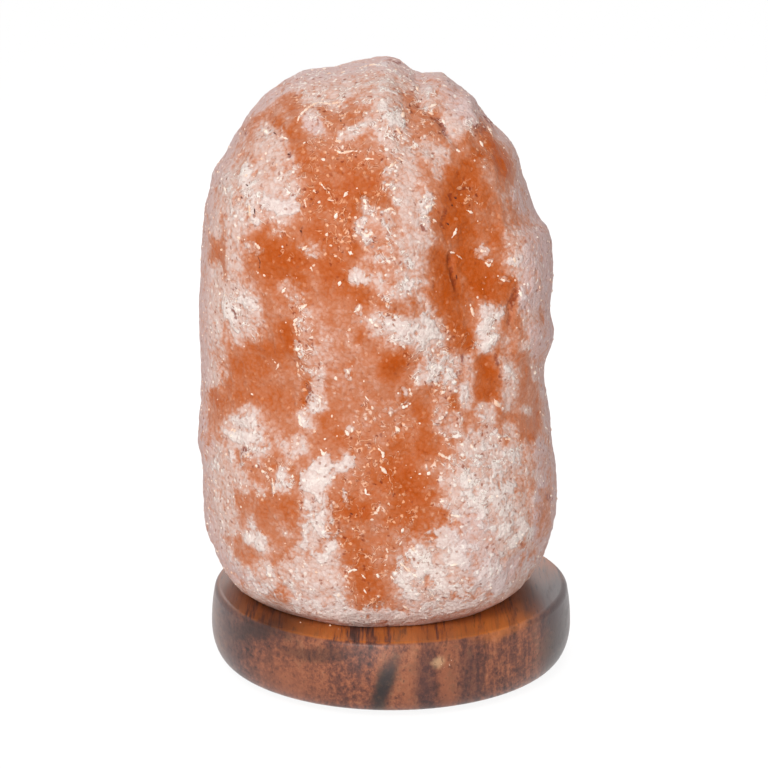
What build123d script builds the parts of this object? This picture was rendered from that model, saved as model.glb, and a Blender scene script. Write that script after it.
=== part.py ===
from build123d import *
import math
import os

os.makedirs("parts", exist_ok=True)

# All sizes are millimetres. Z is up, the table is Z 0, the front is -Y and the base's axis is X 0, Y 0.

# wooden base
base_radius = 52.5
wood_thickness = 20.5
base_bottom_curve_width = 4.3
base_bottom_curve_height = 9.0
base_top_draw_in = 1.3
base_top_rounding = 1.8
hole_edge_chamfer = 1.0
channel_width = 8.0
channel_depth = 8.5
channel_corner = 1.5

# rubber feet
foot_height = 2.0
foot_top_radius = 6.0
foot_bottom_radius = 5.4
foot_edge_inset = 12.5
foot_angles = {"front_left": 225, "front_right": 315, "back_left": 135, "back_right": 45}

# salt crystal: height above the wood, then how far it reaches to the left, right, front and back.
# The reaches are drawn on a crystal of the drawn sizes, and the crystal's own sizes stretch them.
crystal_height = 151.5
crystal_reach = 54.6
drawn_height = 151.5
drawn_reach = 54.6
crystal_stations = [
    (0.0, 45.0, 42.0, 39.5, 41.0),
    (3.0, 48.0, 44.0, 42.0, 43.0),
    (8.0, 51.5, 46.0, 45.0, 45.0),
    (16.0, 53.6, 47.5, 46.8, 46.0),
    (28.0, 54.2, 48.3, 47.6, 46.6),
    (40.0, 54.6, 47.0, 47.6, 46.6),
    (52.0, 54.3, 45.8, 46.8, 46.2),
    (64.0, 53.9, 43.8, 46.2, 46.0),
    (76.0, 54.2, 45.4, 46.6, 45.6),
    (90.0, 53.9, 45.6, 47.0, 45.2),
    (104.0, 53.0, 44.2, 46.0, 44.6),
    (116.0, 50.8, 38.6, 43.6, 42.4),
    (126.0, 46.4, 34.5, 39.6, 39.6),
    (135.0, 40.5, 27.4, 34.6, 35.0),
    (142.0, 33.4, 21.4, 28.6, 29.4),
    (147.0, 26.0, 15.0, 21.0, 22.6),
    (150.0, 14.6, 7.4, 11.4, 12.6),
    (151.5, 6.0, 3.0, 4.6, 5.0),
]
section_points = 24
section_squareness = 2.3
# lumps and hollows: bearing from the front towards the right, height, depth, half angle, half height
crystal_lumps = [
    (20.0, 140.0, -3.0, 14.0, 12.0),
    (45.0, 141.0, 3.0, 15.0, 8.0),
    (28.0, 95.0, -4.5, 16.0, 26.0),
    (2.0, 95.0, 3.0, 12.0, 30.0),
    (40.0, 25.0, 2.5, 20.0, 16.0),
    (-40.0, 70.0, -2.5, 20.0, 20.0),
    (-50.0, 112.0, 2.5, 18.0, 14.0),
    (150.0, 60.0, -3.0, 22.0, 24.0),
    (-150.0, 100.0, 2.5, 20.0, 20.0),
    (-140.0, 34.0, -2.5, 18.0, 16.0),
    (170.0, 118.0, 2.5, 16.0, 14.0),
    (120.0, 24.0, 2.0, 18.0, 12.0),
]
bore_step = 3.0
bore_top_rounding = 8.0
bore_air_over_bulb = 25.0

# screws and nylon plugs that hold the crystal on the wood
screw_angles = [-90, 30, 150]
screw_place_from_bore = 8.5
screw_head_radius = 4.0
screw_head_height = 2.6
screw_head_rounding = 1.0
screw_shank_radius = 2.0
screw_shank_length = 32.0
screw_hole_clearance = 0.25
counterbore_clearance = 0.75
counterbore_depth = 6.0
recess_width = 1.0
recess_length = 4.4
recess_depth = 1.4
plug_radius = 3.5
plug_length = 22.0
plug_bore_clearance = 0.05
plug_hole_extra_depth = 2.0

# plastic shell of the lampholder, sized outwards from the insert it holds
insert_radius = 10.8
insert_height = 8.5
insert_clearance = 0.2
insert_ledge_width = 1.2
spigot_wall = 1.3
spigot_clearance = 0.1
spigot_length = 6.0
holder_wall = 1.6
holder_gap_under = 9.5
cap_height = 20.0
cap_floor = 2.5
cap_edge_rounding = 2.6
ledge_height = 13.5
skirt_height = 26.0
skirt_lip_height = 2.0
skirt_edge_rounding = 0.8
skirt_lip_clearance = 1.3
flange_grip = 0.6
assembly_gap = 0.1

# cord gland in the floor of the cap
gland_bore_radius = 3.3
gland_body_radius = 5.0
gland_flange_radius = 6.6
gland_flange_height = 1.5
gland_body_length = 6.5
gland_nut_flats = 12.0
gland_nut_height = 3.0
gland_clearance = 0.05

# contacts and terminals in the insert: places run along Y
contact_sheet = 0.5
strip_width = 4.0
strip_front = -1.6
strip_back = 5.4
tongue_flat_end = 1.4
tongue_slope_end = 2.5
rivet_place = 3.8
rivet_radius = 0.8
rivet_head_radius = 1.2
rivet_head_height = 0.5
plate_width = 4.4
plate_near = 2.4
plate_far = 8.9
terminal_place = 7.2
side_terminal_place = -4.7
terminal_radius = 1.25
terminal_head_radius = 1.9
terminal_head_height = 1.5
terminal_slot_width = 0.5
terminal_slot_depth = 0.75
terminal_length = 5.0
terminal_hole_extra_depth = 1.0
terminal_clearance = 0.1
side_leg_place = -8.1
side_tab_length = 1.5
side_width = 3.0
side_foot_end = -2.7
slot_clearance = 0.1

# screw thread shared by the lampholder's shell and the bulb's cap
thread_pitch = 2.82
thread_turns = 3.5
thread_ridge_radius = 0.75
thread_lead_in = 1.0
thread_clearance = 0.15
thread_root_sink = 0.05
bulb_thread_radius = 6.15
shell_wall = 0.9
shell_rim = 0.7
shell_flange_inset = 0.6
shell_flange_height = 0.8

# bulb
bulb_tip_radius = 3.0
bulb_tip_height = 1.4
bulb_tip_shoulder_radius = 2.6
bulb_tip_shoulder_height = 0.4
bulb_tip_flat_radius = 1.6
bulb_tip_post_radius = 1.6
bulb_tip_post_height = 1.4
insulator_low_radius = 3.4
insulator_height = 2.6
insulator_seat = 0.5
bulb_cap_wall = 0.8
bulb_cap_collar_length = 5.0
bulb_cap_collar_radius = 7.5
neck_clearance = 0.15
neck_depth_in_cap = 4.0
envelope_wall = 0.7
envelope_radius = 11.0
envelope_straight = 10.5
envelope_shoulder = 9.0
collar_glass_flare = 0.25
stem_radius = 1.9
stem_height = 19.0
stem_flare_height = 3.0
stem_foot_height = 1.4
lead_radius = 0.35
lead_spread = 5.5
lead_inner_spread = 1.15
lead_below_glass = 3.0
lead_straight_over_stem = 1.0
lead_post_height = 3.0
lead_slip = 0.1
filament_height = 27.0
filament_radius = 0.3
support_radius = 0.22
support_bead_radius = 1.3

# spring leaves that grip the hole in the wood, and the keepers on the skirt that hold their beads
leaf_sheet = 0.5
leaf_half_width = 4.5
leaf_bead_radius = 1.1
leaf_bead_stand_off = 1.6
leaf_bead_drop = 11.5
leaf_wood_gap = 0.2
leaf_contact_drop = 2.5
leaf_contact_length = 4.5
leaf_tip_drop = 6.0
leaf_tip_draw_in = 1.1
leaf_bend_radii = [6.0, 8.0, 4.0]
keeper_stand_off = 3.3
keeper_half_width = 5.8
keeper_height = 7.0
keeper_clearance = 0.08
keeper_slot_half = 0.75
keeper_hole_clearance = 0.75

# radii that follow from the sizes
spigot_inner_radius = insert_radius + insert_clearance
spigot_radius = spigot_inner_radius + spigot_wall
cap_bore_radius = spigot_radius + spigot_clearance
holder_radius = cap_bore_radius + holder_wall
ledge_radius = insert_radius - insert_ledge_width
shell_inner_radius = bulb_thread_radius + thread_ridge_radius + thread_clearance
shell_thread_radius = shell_inner_radius + thread_root_sink
shell_outer_radius = shell_inner_radius + shell_wall
shell_flange_radius = insert_radius - shell_flange_inset
skirt_inner_radius = shell_flange_radius - flange_grip
skirt_lip_radius = bulb_cap_collar_radius + skirt_lip_clearance
centre_recess_radius = shell_inner_radius - thread_clearance
cap_inner_radius = bulb_thread_radius - bulb_cap_wall
neck_radius = cap_inner_radius - neck_clearance
collar_glass_radius = bulb_cap_collar_radius - bulb_cap_wall
leaf_bead_place = holder_radius + leaf_bead_stand_off
keeper_reach = holder_radius + keeper_stand_off
holder_hole_radius = math.hypot(keeper_reach, keeper_half_width) + keeper_hole_clearance
bore_radius = holder_hole_radius + bore_step
screw_circle = bore_radius + screw_place_from_bore
foot_circle = base_radius - foot_edge_inset
leaf_contact_place = math.sqrt(holder_hole_radius**2 - leaf_half_width**2) - leaf_wood_gap

# heights that follow from the sizes
wood_bottom = foot_height
wood_top = wood_bottom + wood_thickness
head_seat = wood_bottom + counterbore_depth
holder_bottom = wood_bottom + holder_gap_under
cap_top = holder_bottom + cap_height
skirt_top = cap_top + skirt_height
nut_bottom = holder_bottom + cap_floor
insert_bottom = holder_bottom + ledge_height
insert_top = insert_bottom + insert_height
plate_bottom = insert_bottom - contact_sheet
contact_floor = insert_top - contact_sheet
flange_top = insert_top + shell_flange_height
tip_bottom = flange_top
insulator_bottom = tip_bottom + bulb_tip_height
bulb_cap_bottom = insulator_bottom + insulator_height
bulb_thread_low = bulb_cap_bottom + thread_lead_in + thread_ridge_radius
shell_thread_low = bulb_thread_low + thread_pitch / 2
shell_top = shell_thread_low + thread_pitch * thread_turns + thread_ridge_radius + shell_rim
collar_bottom = shell_top
collar_top = collar_bottom + bulb_cap_collar_length
glass_bottom = collar_bottom - neck_depth_in_cap
stem_top = glass_bottom + stem_foot_height + stem_height
shoulder_top = collar_top + envelope_shoulder
dome_bottom = shoulder_top + envelope_straight
bulb_top = dome_bottom + envelope_radius
bore_top = bulb_top + bore_air_over_bulb
filament_level = collar_bottom + filament_height
leaf_bead_level = skirt_top - leaf_bead_drop
leaf_contact_high = wood_top - leaf_contact_drop
leaf_contact_low = leaf_contact_high - leaf_contact_length
leaf_tip_level = leaf_contact_low - leaf_tip_drop
cut_past = 1.0


def disc(radius, low, high):
    return Pos(0, 0, (low + high) / 2) * Cylinder(radius, high - low)


def tube(outer, inner, low, high):
    return disc(outer, low, high) - disc(inner, low - cut_past, high + cut_past)


def block(x_low, x_high, y_low, y_high, z_low, z_high):
    centre = Pos((x_low + x_high) / 2, (y_low + y_high) / 2, (z_low + z_high) / 2)
    return centre * Box(x_high - x_low, y_high - y_low, z_high - z_low)


def rod_along_y(radius, half_length, x, z):
    return Pos(x, 0, z) * Rot(90, 0, 0) * Cylinder(radius, half_length * 2)


def spun(outline):
    return revolve(Plane.XZ * make_face(outline), Axis.Z)


def turned(points):
    return spun(Polyline(*points, close=True).edges())


def around(shape, radius, angle):
    turn = math.radians(angle)
    return Pos(radius * math.cos(turn), radius * math.sin(turn), 0) * shape


def wire_along(path, radius):
    start = Plane(origin=path @ 0, z_dir=path % 0) * Circle(radius)
    return sweep(start, path=path, transition=Transition.ROUND)


def circle_edges(shape, radius, height):
    found = []
    for edge in shape.edges().filter_by(GeomType.CIRCLE):
        if abs(edge.radius - radius) < 0.01 and abs(edge.arc_center.Z - height) < 0.01:
            found.append(edge)
    return found


def save(shape, name):
    export_step(shape, "parts/" + name + ".step")
    print(name, "volume", round(shape.volume, 1), "solids", len(shape.solids()))


# wooden base: a turned disc with a hole for the holder, screw holes and a cord channel to the back
widest_level = wood_bottom + base_bottom_curve_height
curve_start = base_radius - base_bottom_curve_width
top_edge_radius = base_radius - base_top_draw_in
wooden_base = spun(
    [
        Line((0, wood_bottom), (curve_start, wood_bottom)),
        EllipticalCenterArc(
            (curve_start, widest_level),
            base_bottom_curve_width,
            base_bottom_curve_height,
            start_angle=-90,
            arc_size=90,
        ),
        TangentArc((base_radius, widest_level), (top_edge_radius, wood_top), tangent=(0, 1)),
        Line((top_edge_radius, wood_top), (0, wood_top)),
        Line((0, wood_top), (0, wood_bottom)),
    ]
)
wooden_base = fillet(circle_edges(wooden_base, top_edge_radius, wood_top), base_top_rounding)
wooden_base -= disc(holder_hole_radius, wood_bottom - cut_past, wood_top + cut_past)
wooden_base = chamfer(circle_edges(wooden_base, holder_hole_radius, wood_bottom), hole_edge_chamfer)
channel_top = wood_bottom + channel_depth
channel_half = channel_width / 2
channel = block(
    -channel_half, channel_half, 0, base_radius + cut_past, wood_bottom - channel_depth, channel_top
)
wooden_base -= fillet(channel.edges().filter_by(Axis.Y), channel_corner)
counterbore = disc(screw_head_radius + counterbore_clearance, wood_bottom - cut_past, head_seat)
screw_hole = disc(screw_shank_radius + screw_hole_clearance, wood_bottom, wood_top + cut_past)
for angle in screw_angles:
    wooden_base -= around(counterbore, screw_circle, angle)
    wooden_base -= around(screw_hole, screw_circle, angle)
save(wooden_base, "wooden_base")

# rubber feet
foot = turned(
    [
        (0, 0),
        (foot_bottom_radius, 0),
        (foot_top_radius, foot_height / 2),
        (foot_top_radius, foot_height),
        (0, foot_height),
    ]
)
for place, angle in foot_angles.items():
    save(around(foot, foot_circle, angle), "foot_" + place)


# salt crystal: a rough-hewn block lofted through level outlines, bored from below
def crystal_radius(bearing, height, reaches):
    left, right, front, back = reaches
    side = right if math.sin(bearing) > 0 else left
    depth = front if math.cos(bearing) > 0 else back
    across = abs(math.sin(bearing) / side) ** section_squareness
    along = abs(math.cos(bearing) / depth) ** section_squareness
    radius = (across + along) ** (-1 / section_squareness)
    for lump_bearing, lump_height, lump_depth, half_angle, half_height in crystal_lumps:
        turn = (math.degrees(bearing) - lump_bearing + 180) % 360 - 180
        rise = height - lump_height
        radius += lump_depth * math.exp(-((turn / half_angle) ** 2) - (rise / half_height) ** 2)
    return radius


def crystal_section(station):
    height = station[0]
    reaches = [reach * crystal_reach / drawn_reach for reach in station[1:]]
    level = wood_top + height * crystal_height / drawn_height
    points = []
    for count in range(section_points):
        bearing = 2 * math.pi * count / section_points
        radius = crystal_radius(bearing, height, reaches)
        points.append((radius * math.sin(bearing), -radius * math.cos(bearing), level))
    return make_face(Spline(*points, periodic=True).edges())


salt_crystal = loft([crystal_section(station) for station in crystal_stations])
bore = disc(bore_radius, wood_top - cut_past, bore_top)
salt_crystal -= fillet(circle_edges(bore, bore_radius, bore_top), bore_top_rounding)
plug_hole = disc(plug_radius, wood_top - cut_past, wood_top + plug_length + plug_hole_extra_depth)
for angle in screw_angles:
    salt_crystal -= around(plug_hole, screw_circle, angle)
save(salt_crystal, "salt_crystal")

# screws from below and the nylon plugs they grip
head_bottom = head_seat - screw_head_height
recess_top = head_bottom + recess_depth
recess_half = recess_width / 2
recess_reach = recess_length / 2
screw = disc(screw_head_radius, head_bottom, head_seat)
screw = fillet(circle_edges(screw, screw_head_radius, head_bottom), screw_head_rounding)
screw += disc(screw_shank_radius, head_seat, head_seat + screw_shank_length)
recess_low = head_bottom - cut_past
screw -= block(-recess_half, recess_half, -recess_reach, recess_reach, recess_low, recess_top)
screw -= block(-recess_reach, recess_reach, -recess_half, recess_half, recess_low, recess_top)
plug = tube(plug_radius, screw_shank_radius + plug_bore_clearance, wood_top, wood_top + plug_length)
crystal_screws = Part()
crystal_plugs = Part()
for angle in screw_angles:
    crystal_screws += around(screw, screw_circle, angle)
    crystal_plugs += around(plug, screw_circle, angle)
save(crystal_screws, "crystal_screws")
save(crystal_plugs, "crystal_plugs")

# lower plastic cup of the holder
holder_cap = disc(holder_radius, holder_bottom, cap_top)
holder_cap = fillet(circle_edges(holder_cap, holder_radius, holder_bottom), cap_edge_rounding)
holder_cap -= disc(cap_bore_radius, insert_bottom, cap_top + cut_past)
holder_cap -= disc(ledge_radius, nut_bottom, insert_bottom + cut_past)
holder_cap -= disc(gland_body_radius, holder_bottom - cut_past, nut_bottom + cut_past)
save(holder_cap, "holder_cap")

# upper plastic skirt with its spigot and the two keepers for the spring leaves
shoulder_level = flange_top + assembly_gap
lip_bottom = skirt_top - skirt_lip_height
holder_skirt = turned(
    [
        (spigot_inner_radius, cap_top - spigot_length),
        (spigot_radius, cap_top - spigot_length),
        (spigot_radius, cap_top),
        (holder_radius, cap_top),
        (holder_radius, skirt_top - skirt_edge_rounding),
        (holder_radius - skirt_edge_rounding, skirt_top),
        (skirt_lip_radius, skirt_top),
        (skirt_lip_radius, lip_bottom),
        (skirt_inner_radius, lip_bottom),
        (skirt_inner_radius, shoulder_level),
        (spigot_inner_radius, shoulder_level),
    ]
)
keeper_low = leaf_bead_level - keeper_height / 2
keeper_high = leaf_bead_level + keeper_height / 2
leaf_space = leaf_half_width + keeper_clearance
for side in (-1, 1):
    near = side * (holder_radius - holder_wall)
    far = side * keeper_reach
    bead_x = side * leaf_bead_place
    holder_skirt += block(
        min(near, far), max(near, far), -keeper_half_width, keeper_half_width, keeper_low, keeper_high
    )
    holder_skirt -= rod_along_y(leaf_bead_radius + keeper_clearance, leaf_space, bead_x, leaf_bead_level)
    holder_skirt -= block(
        bead_x - keeper_slot_half,
        bead_x + keeper_slot_half,
        -leaf_space,
        leaf_space,
        keeper_low - cut_past,
        leaf_bead_level,
    )
save(holder_skirt, "holder_skirt")

# cord gland through the cap's floor, with its nut inside
gland_low = holder_bottom - gland_flange_height
gland_high = holder_bottom + gland_body_length
cord_inlet = disc(gland_flange_radius, gland_low, holder_bottom)
cord_inlet += disc(gland_body_radius - gland_clearance, holder_bottom, gland_high)
cord_inlet -= disc(gland_bore_radius, gland_low - cut_past, gland_high + cut_past)
save(cord_inlet, "cord_inlet")
nut_outline = RegularPolygon(gland_nut_flats / 2, 6, major_radius=False)
gland_nut = Pos(0, 0, nut_bottom) * extrude(nut_outline, gland_nut_height)
gland_nut -= disc(gland_body_radius, nut_bottom - cut_past, nut_bottom + gland_nut_height + cut_past)
save(gland_nut, "gland_nut")

# insulating insert: a recess and a slot for the contacts, holes for the rivet and the terminal screws
side_leg_inner = side_leg_place + contact_sheet
side_tab_outer = side_leg_place - side_tab_length
tab_half = side_width / 2 + slot_clearance
below_insert = insert_bottom - cut_past
above_insert = insert_top + cut_past
rivet_hole = Pos(0, rivet_place, 0) * disc(rivet_radius + slot_clearance, below_insert, above_insert)
terminal_hole_top = insert_bottom + terminal_length + terminal_hole_extra_depth
terminal_hole = disc(terminal_radius + terminal_clearance, plate_bottom - cut_past, terminal_hole_top)
leg_low = side_leg_place - slot_clearance
leg_high = side_leg_inner + slot_clearance
tab_low = side_tab_outer - slot_clearance
contact_insert = disc(insert_radius, insert_bottom, insert_top)
contact_insert -= disc(centre_recess_radius, contact_floor, above_insert)
contact_insert -= rivet_hole
contact_insert -= block(-tab_half, tab_half, leg_low, leg_high, below_insert, above_insert)
contact_insert -= block(-tab_half, tab_half, tab_low, leg_high, contact_floor, above_insert)
for place in (terminal_place, side_terminal_place):
    contact_insert -= Pos(0, place, 0) * terminal_hole
save(contact_insert, "contact_insert")

# sprung strip that meets the bulb's tip, its rivet and its terminal plate
tongue_low = tip_bottom - contact_sheet
strip_side = Polyline(
    (strip_back, contact_floor),
    (strip_back, insert_top),
    (tongue_slope_end, insert_top),
    (tongue_flat_end, tip_bottom),
    (strip_front, tip_bottom),
    (strip_front, tongue_low),
    (tongue_flat_end, tongue_low),
    (tongue_slope_end, contact_floor),
    close=True,
)
strip_solid = extrude(Plane.YZ * make_face(strip_side.edges()), strip_width)
centre_contact = Pos(-strip_width / 2, 0, 0) * strip_solid
rivet_shank = Pos(0, rivet_place, 0) * disc(rivet_radius, plate_bottom, insert_top)
centre_contact -= rivet_shank
save(centre_contact, "centre_contact")
rivet_head = disc(rivet_head_radius, insert_top, insert_top + rivet_head_height)
rivet_foot = disc(rivet_head_radius, plate_bottom - rivet_head_height, plate_bottom)
contact_rivet = rivet_shank + Pos(0, rivet_place, 0) * (rivet_head + rivet_foot)
save(contact_rivet, "contact_rivet")
plate_half = plate_width / 2
terminal_plate = block(-plate_half, plate_half, plate_near, plate_far, plate_bottom, insert_bottom)
terminal_plate -= rivet_shank
terminal_plate -= Pos(0, terminal_place, 0) * terminal_hole
save(terminal_plate, "terminal_plate")

# strip that joins the threaded shell to its terminal
side_half = side_width / 2
side_contact = block(-side_half, side_half, side_tab_outer, side_leg_inner, contact_floor, insert_top)
side_contact += block(-side_half, side_half, side_leg_place, side_leg_inner, plate_bottom, insert_top)
side_contact += block(-side_half, side_half, side_leg_place, side_foot_end, plate_bottom, insert_bottom)
side_contact -= Pos(0, side_terminal_place, 0) * terminal_hole
save(side_contact, "side_contact")

# two terminal screws
head_low = plate_bottom - terminal_head_height
slot_half = terminal_slot_width / 2
slot_reach = terminal_head_radius + cut_past
slot_top = head_low + terminal_slot_depth
terminal_screw = disc(terminal_head_radius, head_low, plate_bottom)
terminal_screw += disc(terminal_radius, plate_bottom, insert_bottom + terminal_length)
terminal_screw -= block(-slot_reach, slot_reach, -slot_half, slot_half, head_low - cut_past, slot_top)
terminal_screws = Part()
for place in (terminal_place, side_terminal_place):
    terminal_screws += Pos(0, place, 0) * terminal_screw
save(terminal_screws, "terminal_screws")


# thread: a round ridge that climbs one pitch a turn
def thread_ridge(radius, low):
    path = Pos(0, 0, low) * Helix(thread_pitch, thread_pitch * thread_turns, radius)
    start = Plane(origin=path @ 0, z_dir=path % 0) * Circle(thread_ridge_radius)
    return sweep(start, path=path, is_frenet=True)


# threaded shell of the lampholder
screw_shell = tube(shell_outer_radius, shell_inner_radius, insert_top, shell_top)
screw_shell += tube(shell_flange_radius, shell_inner_radius, insert_top, flange_top)
screw_shell += thread_ridge(shell_thread_radius, shell_thread_low)
save(screw_shell, "screw_shell")

# bulb: contact tip, black insulator and threaded cap
post_top = insulator_bottom + bulb_tip_post_height
bulb_tip = turned(
    [
        (0, tip_bottom),
        (bulb_tip_flat_radius, tip_bottom),
        (bulb_tip_shoulder_radius, tip_bottom + bulb_tip_shoulder_height),
        (bulb_tip_radius, insulator_bottom),
        (bulb_tip_post_radius, insulator_bottom),
        (bulb_tip_post_radius, post_top),
        (0, post_top),
    ]
)
save(bulb_tip, "bulb_tip")
bulb_insulator = turned(
    [
        (bulb_tip_post_radius, insulator_bottom),
        (insulator_low_radius, insulator_bottom),
        (cap_inner_radius, bulb_cap_bottom - insulator_seat),
        (cap_inner_radius, bulb_cap_bottom + insulator_seat),
        (bulb_tip_post_radius, bulb_cap_bottom + insulator_seat),
    ]
)
save(bulb_insulator, "bulb_insulator")
collar_floor = collar_bottom + bulb_cap_wall
bulb_cap = turned(
    [
        (cap_inner_radius, bulb_cap_bottom),
        (bulb_thread_radius, bulb_cap_bottom),
        (bulb_thread_radius, collar_bottom),
        (bulb_cap_collar_radius, collar_floor),
        (bulb_cap_collar_radius, collar_top),
        (collar_glass_radius, collar_top),
        (collar_glass_radius, collar_floor + bulb_cap_wall),
        (cap_inner_radius, collar_floor),
    ]
)
bulb_cap += thread_ridge(bulb_thread_radius, bulb_thread_low)
save(bulb_cap, "bulb_cap")


# bulb: blown glass, drawn once for its outside and once for its inside
def glass_form(inset, low):
    neck = neck_radius - inset
    collar = collar_glass_radius - inset
    wide = envelope_radius - inset
    flare = (collar_glass_flare, 1)
    return spun(
        [
            Line((0, low), (neck, low)),
            Line((neck, low), (neck, collar_bottom)),
            Spline((neck, collar_bottom), (collar, collar_top), tangents=[(0, 1), flare]),
            Spline((collar, collar_top), (wide, shoulder_top), tangents=[flare, (0, 1)]),
            Line((wide, shoulder_top), (wide, dome_bottom)),
            CenterArc((0, dome_bottom), wide, 0, 90),
            Line((0, dome_bottom + wide), (0, low)),
        ]
    )


bulb_envelope = glass_form(0, glass_bottom) - glass_form(envelope_wall, glass_bottom - cut_past)
save(bulb_envelope, "bulb_envelope")

# bulb: lead wires and the glass stem pinched round them
stem_bottom = glass_bottom + stem_foot_height
flare_radius = neck_radius - envelope_wall
bulb_stem = turned(
    [
        (0, glass_bottom),
        (flare_radius, glass_bottom),
        (flare_radius, stem_bottom),
        (stem_radius, stem_bottom + stem_flare_height),
        (stem_radius, stem_top),
        (0, stem_top),
    ]
)
bulb_leads = Part()
lead_low = glass_bottom - lead_below_glass
for side in (-1, 1):
    inner = side * lead_inner_spread
    outer = side * lead_spread
    lead_path = Polyline(
        (inner, 0, lead_low),
        (inner, 0, stem_top + lead_straight_over_stem),
        (outer, 0, filament_level - lead_post_height),
        (outer, 0, filament_level),
    )
    bulb_leads += wire_along(lead_path, lead_radius)
    bulb_stem -= Pos(inner, 0, 0) * disc(lead_radius, lead_low, stem_top + cut_past)
save(bulb_stem, "bulb_stem")
save(bulb_leads, "bulb_leads")

# bulb: filament from lead to lead, and the wire on a glass bead that holds its middle
bulb_filament = wire_along(CenterArc((0, 0, filament_level), lead_spread, 180, 180), filament_radius)
filament_support = Pos(0, 0, stem_top) * Sphere(support_bead_radius)
filament_support += wire_along(Line((0, 0, stem_top), (0, -lead_spread, filament_level)), support_radius)
filament_support -= disc(stem_radius, stem_top - stem_height, stem_top)
filament_support -= bulb_filament
for side in (-1, 1):
    lead_end = disc(lead_radius, filament_level - lead_post_height, filament_level)
    bulb_filament -= Pos(side * lead_spread, 0, 0) * lead_end
    lead_way = disc(lead_radius + lead_slip, stem_top - cut_past, stem_top + support_bead_radius)
    filament_support -= Pos(side * lead_inner_spread, 0, 0) * lead_way
save(bulb_filament, "bulb_filament")
save(filament_support, "filament_support")

# spring leaves: a rolled bead at the top, a long flare and a contact bow that grips the hole
contact_line = leaf_contact_place - leaf_sheet / 2
leaf_line = FilletPolyline(
    (leaf_bead_place, leaf_bead_level),
    (leaf_bead_place, keeper_low),
    (contact_line, leaf_contact_high),
    (contact_line, leaf_contact_low),
    (contact_line - leaf_tip_draw_in, leaf_tip_level),
    radius=leaf_bend_radii,
)
leaf_right = extrude(Plane.XZ * trace(leaf_line, leaf_sheet), leaf_half_width, both=True)
leaf_right += rod_along_y(leaf_bead_radius, leaf_half_width, leaf_bead_place, leaf_bead_level)
save(leaf_right, "leaf_right")
save(mirror(leaf_right, about=Plane.YZ), "leaf_left")

print("leaf bead at", leaf_bead_place, leaf_bead_level, "contact at", round(leaf_contact_place, 2))
print("holder", holder_bottom, "to", skirt_top, "bulb", tip_bottom, "to", round(bulb_top, 2))
print("holder hole radius", round(holder_hole_radius, 2), "bore", round(bore_radius, 2), "to", round(bore_top, 2))
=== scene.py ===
import math

import bmesh
import bpy
import numpy as np
from mathutils import Euler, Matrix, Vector, noise
from mathutils.bvhtree import BVHTree


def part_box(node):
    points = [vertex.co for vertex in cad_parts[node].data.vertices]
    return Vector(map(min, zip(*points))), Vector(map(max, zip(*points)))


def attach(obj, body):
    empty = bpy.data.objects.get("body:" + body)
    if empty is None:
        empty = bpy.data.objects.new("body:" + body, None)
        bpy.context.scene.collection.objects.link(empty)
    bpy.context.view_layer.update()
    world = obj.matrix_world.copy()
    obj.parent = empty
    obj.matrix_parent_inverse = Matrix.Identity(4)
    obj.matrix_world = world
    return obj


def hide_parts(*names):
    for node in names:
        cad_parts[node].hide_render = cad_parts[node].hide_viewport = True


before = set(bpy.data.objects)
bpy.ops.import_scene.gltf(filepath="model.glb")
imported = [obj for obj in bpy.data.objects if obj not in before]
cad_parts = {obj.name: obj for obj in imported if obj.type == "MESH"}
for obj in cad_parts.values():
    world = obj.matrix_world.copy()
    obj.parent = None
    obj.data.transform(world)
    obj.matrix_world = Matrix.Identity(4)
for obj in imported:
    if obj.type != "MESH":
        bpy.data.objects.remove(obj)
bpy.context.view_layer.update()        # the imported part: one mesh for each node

scene = bpy.context.scene
mm = 0.001
print("frame loaded:", len(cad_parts), "nodes")

# small helpers for meshes and node trees

def paint(red, green, blue):
    # a colour as it looks on screen, 0 to 255, as the linear values that shaders take
    def linear(value):
        value /= 255
        return value / 12.92 if value <= 0.04045 else ((value + 0.055) / 1.055) ** 2.4
    return (linear(red), linear(green), linear(blue), 1.0)


def feed(tree, socket, value):
    if isinstance(value, bpy.types.NodeSocket):
        tree.links.new(value, socket)
    else:
        socket.default_value = value


def place(tree, kind, settings=None, **inputs):
    node = tree.nodes.new(kind)
    for key, value in (settings or {}).items():
        setattr(node, key, value)
    for key, value in inputs.items():
        feed(tree, node.inputs[key.replace("_", " ")], value)
    return node


def maths(tree, operation, *values):
    node = tree.nodes.new("ShaderNodeMath")
    node.operation = operation
    for socket, value in zip(node.inputs, values):
        feed(tree, socket, value)
    return node.outputs[0]


def times(tree, first, second):
    return maths(tree, "MULTIPLY", first, second)


def plus(tree, first, second):
    return maths(tree, "ADD", first, second)


def minus(tree, first, second):
    return maths(tree, "SUBTRACT", first, second)


def larger(tree, first, second):
    return maths(tree, "MAXIMUM", first, second)


def vectors(tree, operation, first, second):
    node = place(tree, "ShaderNodeVectorMath", {"operation": operation})
    feed(tree, node.inputs[0], first)
    feed(tree, node.inputs[1], second)
    return node.outputs["Vector"]


def scaledVector(tree, vector, scale):
    node = place(tree, "ShaderNodeVectorMath", {"operation": "SCALE"}, Vector=vector, Scale=scale)
    return node.outputs["Vector"]


def mixColour(tree, factor, first, second, mode="MIX"):
    node = tree.nodes.new("ShaderNodeMix")
    node.data_type, node.blend_type = "RGBA", mode
    for index, value in ((0, factor), (6, first), (7, second)):
        feed(tree, node.inputs[index], value)
    return node.outputs[2]


def ease(tree, value, low, high, toLow=0.0, toHigh=1.0):
    # runs smoothly from toLow to toHigh as the value goes from low to high
    node = place(tree, "ShaderNodeMapRange", {"interpolation_type": "SMOOTHSTEP"})
    for index, number in enumerate((value, low, high, toLow, toHigh)):
        feed(tree, node.inputs[index], number)
    return node.outputs[0]


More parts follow.
